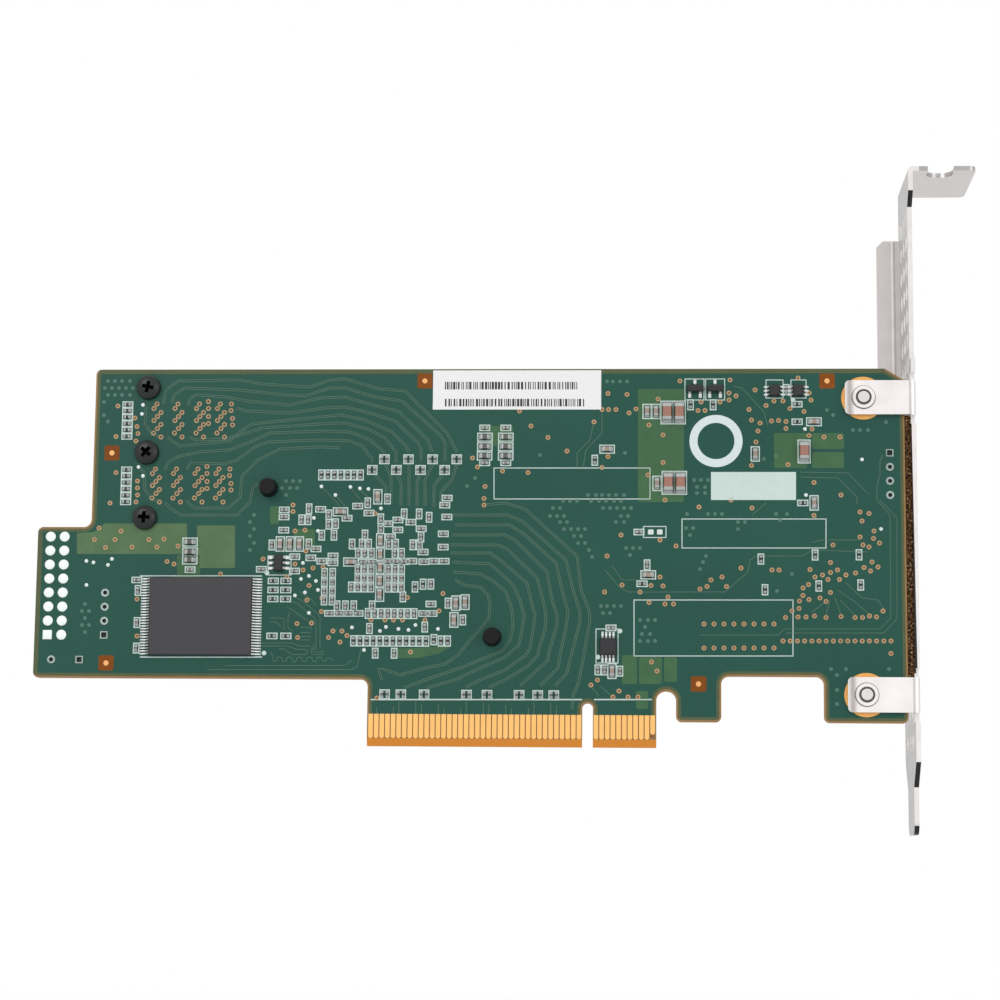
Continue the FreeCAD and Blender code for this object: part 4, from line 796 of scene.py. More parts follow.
# Alignment marks
# Five bright copper dots for the placing machine, each in a square window of the mask where the bare
# orange laminate shows.
mark_places = [(112, 453), (106, 663), (425, 381), (827, 381), (698.5, 684)]
window_side = 2.75
window_corner = 0.35
window_lift = 0.02
window_rim = 0.12
window_sink = 0.008
mark_land = (0.47, 0.06, 0.34, -0.005)
mark_sides = 20
mark_orange = (0.215, 0.060, 0.004, 1)
mark_dot = (0.90, 0.45, 0.16, 1)
window_finish = new_finish("mark_laminate", mark_orange, 0.55, variation=0.5, scale=500, gloss=0.2)
dot_finish = new_finish("mark_copper", mark_dot, 0.3, metallic=0.3, variation=0.15, scale=1500)
bpy.ops.object.select_all(action="DESELECT")
bpy.ops.mesh.primitive_plane_add(size=window_side * MM, rotation=(math.pi / 2, 0, 0))
window = bpy.context.object
bpy.ops.object.transform_apply(location=True, rotation=True, scale=True)
edit_all()
bpy.ops.mesh.bevel(offset=window_corner * MM, segments=3, affect="VERTICES")
bpy.ops.mesh.select_all(action="SELECT")
raise_faces(window_lift * MM)
bpy.ops.mesh.inset(thickness=window_rim * MM)
bpy.ops.transform.translate(value=(0, window_sink * MM, 0))
bpy.ops.object.mode_set(mode="OBJECT")
window.data.materials.append(window_finish)
stamped(window, "mark_windows", all_on_card(mark_places))
stamped(round_land(*mark_land, [dot_finish, dot_finish], mark_sides), "mark_dots",
        all_on_card(mark_places))


# Edge connector contacts
# Hard gold over nickel on both faces of the tongue, on brown laminate that the mask leaves free. Each pad
# is a flat bar whose lower end is cut to a blunt point.
contact_gold = (1.0, 0.56, 0.19)
tongue_brown = (0.20, 0.085, 0.020)
point_cut = 0.27
key_half = 0.95
tongue_margin = 0.2
tongue_rise = 0.01
tongue_edge = 0.004
length_play = 0.1
gold_finish = new_finish("contact_gold", contact_gold, 0.30, metallic=0.9, variation=0.10, scale=400)
tongue_finish = new_finish("bare_tongue", tongue_brown, 0.5, variation=0.3, scale=900)


def solids_of(node):
    """The lowest and the highest corner of each separate solid of a node."""
    copy_of(node)
    edit_all()
    bpy.ops.mesh.separate(type="LOOSE")
    bpy.ops.object.mode_set(mode="OBJECT")
    boxes = []
    for piece in list(bpy.context.selected_objects):
        corners = [vertex.co for vertex in piece.data.vertices]
        boxes.append((Vector([min(corner[axis] for corner in corners) for axis in range(3)]),
                      Vector([max(corner[axis] for corner in corners) for axis in range(3)])))
        bpy.data.objects.remove(piece)
    return boxes


def bare_cube():
    """A cube of side 1 round the origin."""
    bpy.ops.object.select_all(action="DESELECT")
    bpy.ops.mesh.primitive_cube_add(size=1)
    return bpy.context.object


def soft_block(width, depth, length, edge):
    """A block with broken edges, modelled round the origin."""
    piece = bare_cube()
    piece.scale = (width, depth, length)
    bpy.ops.object.transform_apply(location=True, rotation=True, scale=True)
    edit_all()
    bpy.ops.mesh.bevel(offset=edge, segments=1, affect="EDGES")
    bpy.ops.object.mode_set(mode="OBJECT")
    return piece


def pointed_pad(width, thickness, length):
    """One contact pad round the origin, with the corners of its lower end cut off."""
    half = width / 2
    low = -length / 2
    cut = point_cut * MM
    corners = [(-half, -low), (-half, low + cut), (cut - half, low), (half - cut, low), (half, low + cut),
               (half, -low)]
    pad = outline_through([(across, thickness / 2, up) for across, up in corners])
    raise_faces(thickness)
    close_solid()
    pad.data.materials.append(gold_finish)
    return pad


for face_name, level in (("solder_side", solder_face), ("component_side", part_face)):
    pad_boxes = solids_of(face_name + "_contacts")
    full = max(high.z - low.z for low, high in pad_boxes) - length_play * MM
    full_boxes = [box for box in pad_boxes if box[1].z - box[0].z > full]
    short_boxes = [box for box in pad_boxes if box[1].z - box[0].z <= full]
    for name, chosen in (("_pads", full_boxes), ("_sense_pad", short_boxes)):
        low, high = chosen[0]
        pad = pointed_pad(high.x - low.x, high.y - low.y, high.z - low.z)
        pads = stamped(pad, face_name + name, [(low + high) / 2 for low, high in chosen])
        if name == "_pads":
            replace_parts(pads, face_name + "_contacts")
    low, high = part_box(face_name + "_contacts")
    beds = []
    margin = tongue_margin * MM
    for left, right in ((low.x - margin, -key_half * MM), (key_half * MM, high.x + margin)):
        bed = soft_block(right - left, 2 * tongue_rise * MM, high.z - low.z, tongue_edge * MM)
        bed.data.transform(Matrix.Translation(((left + right) / 2, level, (low.z + high.z) / 2)))
        beds.append(bed)
    finished(joined(beds), face_name + "_tongue", [tongue_finish])


# Mounting bracket
# One bent sheet of bright zinc-plated steel: vented face plate, screw tab, two lugs with tapped collars
# and a stiffening flange. The plating is satin with a cloudy bloom. Light and shade are painted into its
# colour by place: painted highlights on the lugs, the cut edges facing front, the vent walls and the
# flange's bend, and painted shade on the plate's inner face, the tab's edges, the edges facing down, the
# near edge beside the end gap's dark block, a patch on each lug and a line along the flange's bend.
plated_steel = (0.61, 0.575, 0.565)
# Painted highlight: the lugs' front faces are made brighter than the plating.
lug_painted_highlight = (0.86, 0.82, 0.81, 1)
# Painted highlight on the plate's cut edges that face front.
cut_edge_painted_light = (0.80, 0.775, 0.765, 1)
# Painted shade: the face plate's inner face, towards the card, is made darker.
plate_painted_shade = (0.36, 0.355, 0.345, 1)
# Painted highlight on the walls of the vents.
vent_painted_highlight = (0.95, 0.93, 0.92, 1)
# Painted shade on the upright edges of the screw tab.
tab_edge_painted_shade = (0.44, 0.42, 0.41, 1)
lug_shade = (0.36, 0.32, 0.30, 1)
lug_shade_at = 2.45
lug_shade_half = 1.0
lug_shade_share = 0.8
# Painted dark shade on the plate's edges that face down and on its near edge beside the end gap.
painted_dark_shade = (0.035, 0.032, 0.032, 1)
edge_shade = 0.42
# A painted highlight and a painted dark line run along the flange's bend.
bend_painted_highlight = (0.78, 0.745, 0.735, 1)
bend_highlight_at = 1.35
bend_painted_shade = (0.47, 0.44, 0.43, 1)
bend_shade_at = 0.95
bend_line_half = 0.19
plate_gap = 1.16
plate_play = 0.02
plate_edge_width = 0.9
lug_clear = 0.4
tab_clear = 2.0
tab_thickness = 1.0
facing = 0.5
facing_down = 0.25
facing_side = 0.05
facing_vent = 0.4
vents_middle = 48.0
vents_half = 50.2
bracket_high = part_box("mounting_bracket")[1]
plate_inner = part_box("circuit_board")[1].x + plate_gap * MM
steel_finish = new_finish("plated_steel", plated_steel, 0.30, metallic=0.92, variation=0.16, scale=350,
                          spread=0.18, bump=0.05)
tree = steel_finish.node_tree
speck = grain_of(steel_finish)
face = tree.nodes.new("ShaderNodeNewGeometry")
axes = tree.nodes.new("ShaderNodeSeparateXYZ")
tree.links.new(face.outputs["True Normal"], axes.inputs[0])
spot = tree.nodes.new("ShaderNodeTexCoord")
sides = tree.nodes.new("ShaderNodeSeparateXYZ")
tree.links.new(spot.outputs["Object"], sides.inputs[0])


def product(*masks):
    """The product of several masks of the plating."""
    whole = masks[0]
    for mask in masks[1:]:
        whole = add_math(tree, "MULTIPLY", whole, mask)
    return whole


def over(value, limit):
    """A mask of the plating where a value is over a limit."""
    return add_math(tree, "GREATER_THAN", value, limit)


def under(value, limit):
    """A mask of the plating where a value is under a limit."""
    return add_math(tree, "LESS_THAN", value, limit)


def size_of(value):
    """A value of the plating without its sign."""
    return add_math(tree, "ABSOLUTE", value, 0)


faces_front = under(axes.outputs["Y"], -facing)
upright = under(size_of(axes.outputs["Z"]), facing)
beyond_plate = over(sides.outputs["X"], plate_inner + tab_clear * MM)
on_tab = over(sides.outputs["Z"], bracket_high.z - tab_thickness * MM)
on_lug = under(sides.outputs["X"], plate_inner - lug_clear * MM)
on_plate = over(sides.outputs["X"], plate_inner - plate_play * MM)
before_card = under(sides.outputs["Y"], 0)
lug_face = product(faces_front, on_lug, before_card)
plate_face = product(under(axes.outputs["X"], -facing), on_plate)
tab_edge = product(upright, on_tab, beyond_plate)
cut_edge = product(faces_front, on_plate)
faces_down = under(axes.outputs["Z"], -facing_down)
near_side = under(axes.outputs["Y"], -facing_side)
from_middle = add_math(tree, "SUBTRACT", sides.outputs["Z"], vents_middle * MM)
past_vents = over(size_of(from_middle), vents_half * MM)
plate_edge = under(sides.outputs["X"], plate_inner + plate_edge_width * MM)
level_wall = over(size_of(axes.outputs["Z"]), facing_vent)
in_vents = add_math(tree, "SUBTRACT", 1.0, past_vents)
vent_wall = product(level_wall, plate_edge, on_plate, in_vents)
# Painted shade on the plate's down-facing edges above and below the vents.
down_edge_shade = product(faces_down, plate_edge, near_side, past_vents)
ring_low, ring_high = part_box("ground_rings")
shade_x = (ring_low.x + ring_high.x) / 2 - lug_shade_at * MM
from_shade = size_of(add_math(tree, "SUBTRACT", sides.outputs["X"], shade_x))
fade = tree.nodes.new("ShaderNodeMapRange")
fade.interpolation_type = "SMOOTHSTEP"
fade.inputs["From Max"].default_value = lug_shade_half * MM
fade.inputs["To Min"].default_value = lug_shade_share
fade.inputs["To Max"].default_value = 0
tree.links.new(from_shade, fade.inputs["Value"])
shaded = product(fade.outputs["Result"], lug_face)
strip_low = ring_low.z + ring_high.x - ring_low.x
strip_high = ring_high.z - ring_high.x + ring_low.x
from_strip_top = add_math(tree, "SUBTRACT", strip_high, sides.outputs["Z"])
shade_reach = add_math(tree, "MULTIPLY", from_strip_top, edge_shade * MM / (strip_high - strip_low))
from_plate = add_math(tree, "SUBTRACT", sides.outputs["X"], plate_inner)
edge_shaded = product(cut_edge, under(from_plate, shade_reach), over(sides.outputs["Z"], strip_low))
flange_face = product(faces_front, add_math(tree, "SUBTRACT", 1.0, before_card))
painted_bend_lines = []
for distance in (bend_highlight_at, bend_shade_at):
    from_line = size_of(add_math(tree, "ADD", from_plate, distance * MM))
    painted_bend_lines.append(product(flange_face, under(from_line, bend_line_half * MM)))
# Every tone mixed into the plating below is painted light or painted shade.
plating = speck.inputs["Color"].default_value
for mask, colour in ((lug_face, lug_painted_highlight), (plate_face, plate_painted_shade), (cut_edge, cut_edge_painted_light),
                     (vent_wall, vent_painted_highlight), (tab_edge, tab_edge_painted_shade), (down_edge_shade, painted_dark_shade),
                     (shaded, lug_shade), (edge_shaded, painted_dark_shade), (painted_bend_lines[0], bend_painted_highlight),
                     (painted_bend_lines[1], bend_painted_shade)):
    plating = mixed(tree, mask, plating, colour)
tree.links.new(plating, speck.inputs["Color"])
dress("mounting_bracket", steel_finish)


# Bracket end gap shade
# A dark brown speckled block between the lugs, in the narrow gap beside the card's end and against the
# inside of the face plate. It is a dark piece put where that gap lies in shade: painted shade in its dark
# tones and painted glints in its light specks.
end_gap_depth = 6.0
end_gap_clear = 0.06
end_gap_shift = 0.02
end_gap_edge = 0.2
end_gap_from_lug = 3.1
# Painted shade in the dark tones, painted glints in the light ones.
end_gap_shade_tones = [(0.38, (0.006, 0.004, 0.004, 1)), (0.52, (0.075, 0.036, 0.014, 1)),
              (0.62, (0.24, 0.125, 0.050, 1)), (0.72, (0.55, 0.45, 0.36, 1))]
end_gap_cells = 2600
ring_half = (ring_high.x - ring_low.x) / 2
ring_x = ring_low.x + ring_half
end_gap_bottom = ring_low.z + ring_half + end_gap_from_lug * MM
end_gap_top = ring_high.z - ring_half - end_gap_from_lug * MM
end_gap_shade_finish = new_finish("bracket_end_gap_shade", end_gap_shade_tones[1][1], 0.9, variation=0.95, scale=1100, bump=0.9,
                         depth=0.15, gloss=0.1)
tree = end_gap_shade_finish.node_tree
spot = tree.nodes.new("ShaderNodeTexCoord")
cells = tree.nodes.new("ShaderNodeTexNoise")
cells.inputs["Scale"].default_value = end_gap_cells
cells.inputs["Detail"].default_value = 3
tree.links.new(spot.outputs["Object"], cells.inputs["Vector"])
tones = tree.nodes.new("ShaderNodeValToRGB")
tones.color_ramp.elements.new(end_gap_shade_tones[1][0])
tones.color_ramp.elements.new(end_gap_shade_tones[2][0])
for element, (position, colour) in zip(tones.color_ramp.elements, end_gap_shade_tones):
    element.position = position
    element.color = colour
tree.links.new(cells.outputs["Fac"], tones.inputs["Fac"])
tree.links.new(tones.outputs["Color"], grain_of(end_gap_shade_finish).inputs["Color"])
# The dark block that stands in for the end gap's shade.
end_gap_shade_block = bare_cube()
end_gap_shade_block.scale = (plate_inner - card_high.x - end_gap_clear * MM, end_gap_depth * MM, end_gap_top - end_gap_bottom)
end_gap_shade_block.location = ((plate_inner + card_high.x) / 2 + end_gap_shift * MM, solder_face + end_gap_depth * MM / 2,
                 (end_gap_top + end_gap_bottom) / 2)
bpy.ops.object.transform_apply(location=True, rotation=True, scale=True)
edit_all()
bpy.ops.mesh.bevel(offset=end_gap_edge * MM, segments=2, affect="EDGES")
bpy.ops.object.mode_set(mode="OBJECT")
finished(end_gap_shade_block, "bracket_end_gap_shade", [end_gap_shade_finish])


# Ground rings and bracket screws
# A gold ring is plated round each bracket hole, and the lug rests on it. The screws come from the other
# side, and the ends of their threads show in the collars. Painted shade darkens rings on the thread ends,
# a ring in the gap to the collar and the pan heads' cross recesses, and a painted shadow line rings each
# collar's root.
ring_outer = 3.9
ring_inner = 1.4
ring_sides = 64
pan_crown = 1.10
pan_dome = [(1.68, 0.10), (2.12, 0.42), (2.40, 0.85)]
pan_radius = 2.40
shank_radius = 1.25
thread_bevel = [(1.25, 0.03), (1.04, 0.05)]
thread_radius = 1.02
thread_tip = 0.92
thread_tip_length = 0.06
thread_rim = 1.03
pan_recess = (1.25, 0.33, 1.0, 0.7)
recess_clear = 0.2
recess_shade_from = 0.15
recess_shade_radius = 1.3
smooth_angle = math.radians(28)
gap_radius = 1.42
gap_lift = 0.03
gap_sink = 0.01
root_radius = 2.16
root_inner = 1.98
root_lift = 0.02
ring_gold = (0.80, 0.40, 0.11)
screw_steel = (0.72, 0.71, 0.70)
# Painted shade on the thread ends, in the gap to the collar and in the pan heads' recesses.
thread_painted_shade = (0.09, 0.085, 0.085)
collar_shade = (0.22, 0.195, 0.185)
lug_face_y = -1.695 * MM
ring_finish = new_finish("ring_gold", ring_gold, 0.38, metallic=0.6, variation=0.3, scale=500)
screw_finish = new_finish("screw_steel", screw_steel, 0.28, metallic=1.0, variation=0.10, scale=900)
thread_shade_finish = new_finish("thread_shade", thread_painted_shade, 0.45, metallic=0.8, variation=0.3, scale=900)


def bordered(border, thickness):
    """Leave a border of the active flat piece and thicken it towards the solder side."""
    edit_all()
    bpy.ops.mesh.inset(thickness=border * MM)
    bpy.ops.mesh.delete(type="FACE")
    bpy.ops.mesh.select_all(action="SELECT")
    raise_faces(thickness)
    close_solid()


ring = disc(ring_sides, ring_outer)
bordered(ring_outer - ring_inner, ring_high.y - ring_low.y)
ring.data.materials.append(ring_finish)
lug_heights = (ring_low.z + ring_half, ring_high.z - ring_half)


def at_lugs(level):
    """The two points at one level on the axes of the lugs' holes."""
    return [Vector((ring_x, level, height)) for height in lug_heights]


rings = stamped(ring, "plated_rings", at_lugs(ring_high.y))
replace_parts(rings, "ground_rings")


def grown(sides, radius, steps):
    """A round piece at the origin that grows towards -Y through steps of radius and height."""
    piece = disc(sides, radius)
    edit_all()
    height = 0.0
    for next_radius, next_height in steps:
        raise_faces((next_height - height) * MM)
        bpy.ops.transform.resize(value=(next_radius / radius, 1, next_radius / radius))
        radius, height = next_radius, next_height
    close_solid()
    return piece


def cross_tool(reach, arm, depth, taper):
    """A plus-shaped tool round the Y axis, full size just before the origin and narrower at its depth."""
    corners = [(arm, arm), (arm, reach), (-arm, reach), (-arm, arm), (-reach, arm), (-reach, -arm),
               (-arm, -arm), (-arm, -reach), (arm, -reach), (arm, -arm), (reach, -arm), (reach, arm)]
    cross = outline_through([(across * MM * taper, depth * MM, up * MM * taper) for across, up in corners])
    raise_faces((depth + recess_clear) * MM)
    bpy.ops.transform.resize(value=(1 / taper, 1, 1 / taper))
    close_solid()
    return cross


def sink_tool(piece, tool):
    """Cut the shape of a tool out of a piece and give the tool up."""
    activate(piece)
    bite = piece.modifiers.new("bite", "BOOLEAN")
    bite.operation = "DIFFERENCE"
    bite.solver = "EXACT"
    bite.object = tool
    bpy.ops.object.modifier_apply(modifier="bite")
    bpy.data.objects.remove(tool)


screw_low, screw_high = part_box("bracket_screws")
collar_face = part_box("mounting_bracket")[0].y
head_top = (screw_high.y - part_face) / MM
shank_end = (screw_high.y - collar_face) / MM
full_length = (screw_high.y - screw_low.y) / MM
bevel_steps = [(radius, shank_end + height) for radius, height in thread_bevel]
tip_steps = [(thread_radius, full_length - thread_tip_length), (thread_tip, full_length)]
shank_steps = [(pan_radius, head_top), (shank_radius, head_top), (shank_radius, shank_end)]
screw = grown(32, pan_crown, pan_dome + shank_steps + bevel_steps + tip_steps)
cross = cross_tool(*pan_recess)
cross.data.transform(Matrix.Rotation(math.pi, 4, "Z"))
sink_tool(screw, cross)
bpy.ops.object.shade_smooth_by_angle(angle=smooth_angle)
screw.data.materials.append(screw_finish)
screw.data.materials.append(thread_shade_finish)
# The thread ends' outer faces and the recess walls take the painted shade.
for polygon in screw.data.polygons:
    level = polygon.center.y
    rim = max(screw.data.vertices[corner].co.xz.length for corner in polygon.vertices)
    beyond = level < -shank_end * MM and rim > thread_rim * MM
    inside = polygon.center.xz.length < recess_shade_radius * MM
    sunk = -head_top * MM < level < -recess_shade_from * MM and inside
    polygon.material_index = 1 if beyond or sunk else 0
screws = stamped(screw, "bracket_pan_screws", at_lugs(screw_high.y))
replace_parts(screws, "bracket_screws")
# A ring of painted shade in the gap between the thread and the collar.
collar_gap_shade_ring = grown(40, gap_radius, [(gap_radius, gap_lift), (shank_radius, gap_lift)])
collar_gap_shade_ring.data.materials.append(thread_shade_finish)
stamped(collar_gap_shade_ring, "collar_gap_shade_rings", at_lugs(collar_face + gap_sink * MM))
root_finish = new_finish("collar_root", collar_shade, 0.5, metallic=0.6, variation=0.5, scale=700)
root_ring = grown(40, root_radius, [(root_radius, root_lift), (root_inner, root_lift)])
root_ring.data.materials.append(root_finish)
stamped(root_ring, "collar_roots", at_lugs(lug_face_y))


# Drive ports
# A cast shell over both ports on the component side, with a black moulded insert in each mouth and rows
# of gold blades in the inserts' slots.
cast_grey = (0.62, 0.62, 0.63)
insert_black = (0.022, 0.022, 0.024)
blade_width = 0.35
blade_pitch = 0.75
blades_in_row = 9
blade_edge = 0.05
shell_finish = new_finish("cast_shell", cast_grey, 0.42, metallic=0.9, variation=0.12, scale=500, bump=0.15)
insert_finish = new_finish("insert_moulding", insert_black, 0.48, variation=0.2, scale=1200, bump=0.1)
dress("port_shell", shell_finish)
dress("upper_port_insert", insert_finish)
dress("lower_port_insert", insert_finish)
for which in ("upper", "lower"):
    node = which + "_port_contacts"
    places = []
    for low, high in solids_of(node):
        middle = (low + high) / 2
        for step in range(blades_in_row):
            offset = (step - blades_in_row // 2) * blade_pitch * MM
            places.append(middle + Vector((0, 0, offset)))
    blade = soft_block(high.x - low.x, high.y - low.y, blade_width * MM, blade_edge * MM)
    blade.data.materials.append(gold_finish)
    blades = stamped(blade, which + "_port_blades", places)
    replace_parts(blades, node)


# Port screws
# Three black machine screws with low domed heads and a cross recess whose walls are painted near black as
# shade. They pass through the card into the shell's posts.
oxide_black = (0.012, 0.0145, 0.0145)
head_profile = [(2.20, 0.00), (2.20, 0.42), (2.10, 0.78), (1.80, 1.08), (1.30, 1.29), (0.70, 1.38)]
recess_reach = 1.15
recess_arm = 0.36
recess_depth = 1.0
recess_taper = 0.7
recess_rim = 0.12
# Painted shade for the walls of the cross recess.
recess_painted_shade = (0.004, 0.003, 0.003)
screw_turns = (12, 40, 4)
crown = 1.38
black_finish = new_finish("black_oxide", oxide_black, 0.34, metallic=0.3, variation=0.2, scale=900)
recess_shade_finish = new_finish("screw_recess_shade", recess_painted_shade, 0.9, variation=0.2, scale=900, gloss=0.05)
screw_boxes = solids_of("port_screws")
shank_length = (screw_boxes[0][1].y - solder_face) / MM
port_shank = 1.0


def foot_of(low, high):
    """The point of the solder face under the middle of a box."""
    return Vector(((low.x + high.x) / 2, solder_face, (low.z + high.z) / 2))


screw = grown(40, port_shank, [(port_shank, shank_length)]
              + [(radius, shank_length + height) for radius, height in head_profile])
screw.data.transform(Matrix.Translation((0, shank_length * MM, 0)))
cross = cross_tool(recess_reach, recess_arm, recess_depth, recess_taper)
cross.data.transform(Matrix.Translation((0, -crown * MM, 0)))
sink_tool(screw, cross)
bpy.ops.object.shade_smooth_by_angle(angle=smooth_angle)
screw.data.materials.append(black_finish)
screw.data.materials.append(recess_shade_finish)
for polygon in screw.data.polygons:
    inside = polygon.center.xz.length < recess_reach * MM
    sunk = -(crown - recess_rim) * MM < polygon.center.y < 0 and inside
    polygon.material_index = 1 if sunk else 0
screw_boxes.sort(key=lambda box: -box[0].z)
screw_places = []
for (low, high), turn in zip(screw_boxes, screw_turns):
    place = Matrix.Translation(foot_of(low, high))
    screw_places.append(place @ Matrix.Rotation(math.radians(turn), 4, "Y"))
screws = stamped(screw, "port_cross_screws", screw_places)
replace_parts(screws, "port_screws")


# Controller and heat sink
# A moulded controller on its own laminate, a soft grey pad, and an extruded aluminium sink held down by
# two sprung nylon pins whose blunt tips come through to the solder side.
package_green = (0.03, 0.10, 0.05)
moulding_black = (0.030, 0.030, 0.033)
pad_grey = (0.36, 0.38, 0.43)
sink_grey = (0.60, 0.61, 0.63)
nylon_black = (0.008, 0.008, 0.009)
coil_steel = (0.62, 0.62, 0.62)
coil_turns = 5
coil_wire = 0.55
coil_width = 4.6
coil_points = 18
coil_flat_share = 0.18
moulding_finish = new_finish("chip_moulding", moulding_black, 0.55, variation=0.25, scale=2600, spread=0.1,
                             bump=0.2, gloss=0.3)
dress("controller_substrate", new_finish("package_laminate", package_green, 0.45))
dress("controller_moulding", moulding_finish)
dress("thermal_pad", new_finish("pad_filler", pad_grey, 0.8, variation=0.2, scale=1500, bump=0.2))
dress("heat_sink", new_finish("sink_aluminium", sink_grey, 0.38, metallic=0.95, variation=0.1, scale=300))
nylon_finish = new_finish("black_nylon", nylon_black, 0.42, variation=0.2, scale=900, bump=0.1, gloss=0.15)
dress("push_pins", nylon_finish)
coil_finish = new_finish("coil_steel", coil_steel, 0.28, metallic=1.0, variation=0.1, scale=1200)
coil_lines = []
for low, high in solids_of("push_pin_springs"):
    middle = (low + high) / 2
    rise = high.y - low.y - coil_wire * MM
    line = []
    for number in range(coil_turns * coil_points + 1):
        turn = 2 * math.pi * number / coil_points
        part = number / (coil_turns * coil_points)
        climb = min(max((part - coil_flat_share) / (1 - 2 * coil_flat_share), 0), 1)
        line.append((middle.x + coil_width * MM / 2 * math.cos(turn),
                     low.y + coil_wire * MM / 2 + rise * climb,
                     middle.z + coil_width * MM / 2 * math.sin(turn)))
    coil_lines.append(line)
coil = finished(swept("coil", coil_lines, coil_wire, 2), "push_pin_coils", [coil_finish])
bpy.ops.object.shade_smooth()
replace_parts(coil, "push_pin_springs")


# Moulded chips
# Transfer-moulded black packages with drafted sides, broken edges and a round pin-one dimple. Their
# tinned leads are soldered to the card on the solder side, and one chip stands behind.
memory_grey = (0.056, 0.053, 0.058)
draft = 0.12
edge_share = 0.08
dimple_share = 0.06
dimple_depth = 0.12
dimple_inset = 0.16
lead_tin = (0.78, 0.78, 0.77)
lead_nodes = ("memory_chip_leads", "amplifier_chip_leads", "switch_chip_leads", "transistors_leads",
              "logic_chips_leads", "boot_chip_leads")
memory_finish = new_finish("memory_moulding", memory_grey, 0.55, variation=0.22, scale=2600, spread=0.1,
                           bump=0.2, gloss=0.3)
lead_finish = new_finish("lead_tin", lead_tin, 0.34, metallic=0.85, variation=0.12, scale=1800)


def moulded(low, high, outward, finish):
    """One moulded package between two corners, with its outer face pulled in by the draft."""
    size = high - low
    short = min(size.x, size.z)
    piece = soft_block(size.x, size.y, size.z, min(size) * edge_share)
    pull = draft * MM
    for vertex in piece.data.vertices:
        if vertex.co.y * outward > 0:
            vertex.co.x -= math.copysign(pull, vertex.co.x)
            vertex.co.z -= math.copysign(pull, vertex.co.z)
    bpy.ops.object.select_all(action="DESELECT")
    bpy.ops.mesh.primitive_cylinder_add(vertices=24, radius=short * dimple_share,
                                        depth=size.y * dimple_depth, rotation=(math.pi / 2, 0, 0))
    tool = bpy.context.object
    inset = short * dimple_inset
    tool.data.transform(Matrix.Translation((size.x / 2 - inset, size.y / 2 * outward, -size.z / 2 + inset))
                        @ Matrix.Rotation(math.pi / 2, 4, "X"))
    tool.matrix_world = Matrix.Identity(4)
    sink_tool(piece, tool)
    piece.data.transform(Matrix.Translation((low + high) / 2))
    piece.data.materials.clear()
    piece.data.materials.append(finish)
    return piece


for node, outward, finish in (("memory_chip", -1, memory_finish), ("amplifier_chip", -1, moulding_finish),
                              ("switch_chip", -1, moulding_finish), ("transistors", -1, moulding_finish),
                              ("logic_chips", -1, moulding_finish), ("boot_chip", 1, moulding_finish),
                              ("regulator_chips", 1, moulding_finish)):
    packages = [moulded(low, high, outward, finish) for low, high in solids_of(node)]
    package = finished(joined(packages), node + "_package", [])
    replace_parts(package, node)
for node in lead_nodes:
    dress(node, lead_finish)


# Lands of the leads
# Tinned copper lands under the toes of the leads, a little longer than the toes, each with a thin fillet
# of solder.
land_tin = (0.60, 0.64, 0.63)
land_beyond = 0.40
land_under = 0.35
land_rise = 0.05
land_edge = 0.03
land_wider = 1.25
land_finish = new_finish("land_tin", land_tin, 0.36, metallic=0.45, variation=0.15, scale=1500)
for node in lead_nodes:
    level = part_face if node == "boot_chip_leads" else solder_face
    chips_at = [(low + high) / 2 for low, high in solids_of(node.replace("_leads", ""))]
    lands = []
    for low, high in solids_of(node):
        middle = (low + high) / 2
        chip_at = min(chips_at, key=lambda point: (point - middle).length)
        if high.x - low.x > high.z - low.z:
            way = 1 if middle.x > chip_at.x else -1
            toe = Vector((high.x if way > 0 else low.x, level, middle.z))
            turn = Matrix.Rotation(math.pi / 2, 4, "Y")
            along = Vector((way, 0, 0))
            wide = high.z - low.z
        else:
            way = 1 if middle.z > chip_at.z else -1
            toe = Vector((middle.x, level, high.z if way > 0 else low.z))
            turn = Matrix.Identity(4)
            along = Vector((0, 0, way))
            wide = high.x - low.x
        lands.append(Matrix.Translation(toe + along * (land_beyond - land_under) * MM / 2) @ turn)
    land = soft_block(wide * land_wider, 2 * land_rise * MM, (land_beyond + land_under) * MM,
                      land_edge * MM)
    land.data.materials.append(land_finish)
    stamped(land, node + "_lands", lands)


# Chip resistors, capacitors and ferrite beads
# Two-ended chips: a ceramic body between tinned ends, each end in a small fillet of solder. A white
# printed frame stands round every one, and one frame round each coupling pair. Some stand behind, in
# rows round the heat sink, by the supplies, over the contacts and by the bracket.
capacitor_tan = (0.195, 0.172, 0.152)
medium_tan = (0.34, 0.255, 0.215)
bulk_brown = (0.35, 0.165, 0.120)
resistor_black = (0.025, 0.025, 0.027)
coupling_grey = (0.105, 0.120, 0.112)
end_tin = (0.40, 0.43, 0.42)
ferrite_grey = (0.11, 0.10, 0.10)
body_share = 0.94
body_length_share = 0.96
body_edge_share = 0.06
skin_share = 0.04
fillet_reach_share = 0.16
fillet_foot_width = 1.12
fillet_head_width = 0.9
fillet_foot_height = 0.12
fillet_head_height = 0.62
frame_line = 0.205
frame_rise = 0.03
pair_frame = (1.88, 1.79)


def column(x, z, pitch, count):
    """Upright chips one over the other."""
    return [(x, z + pitch * step, True) for step in range(count)]


def level_row(x, z, pitch, count):
    """Level chips side by side."""
    return [(x + pitch * step, z, False) for step in range(count)]


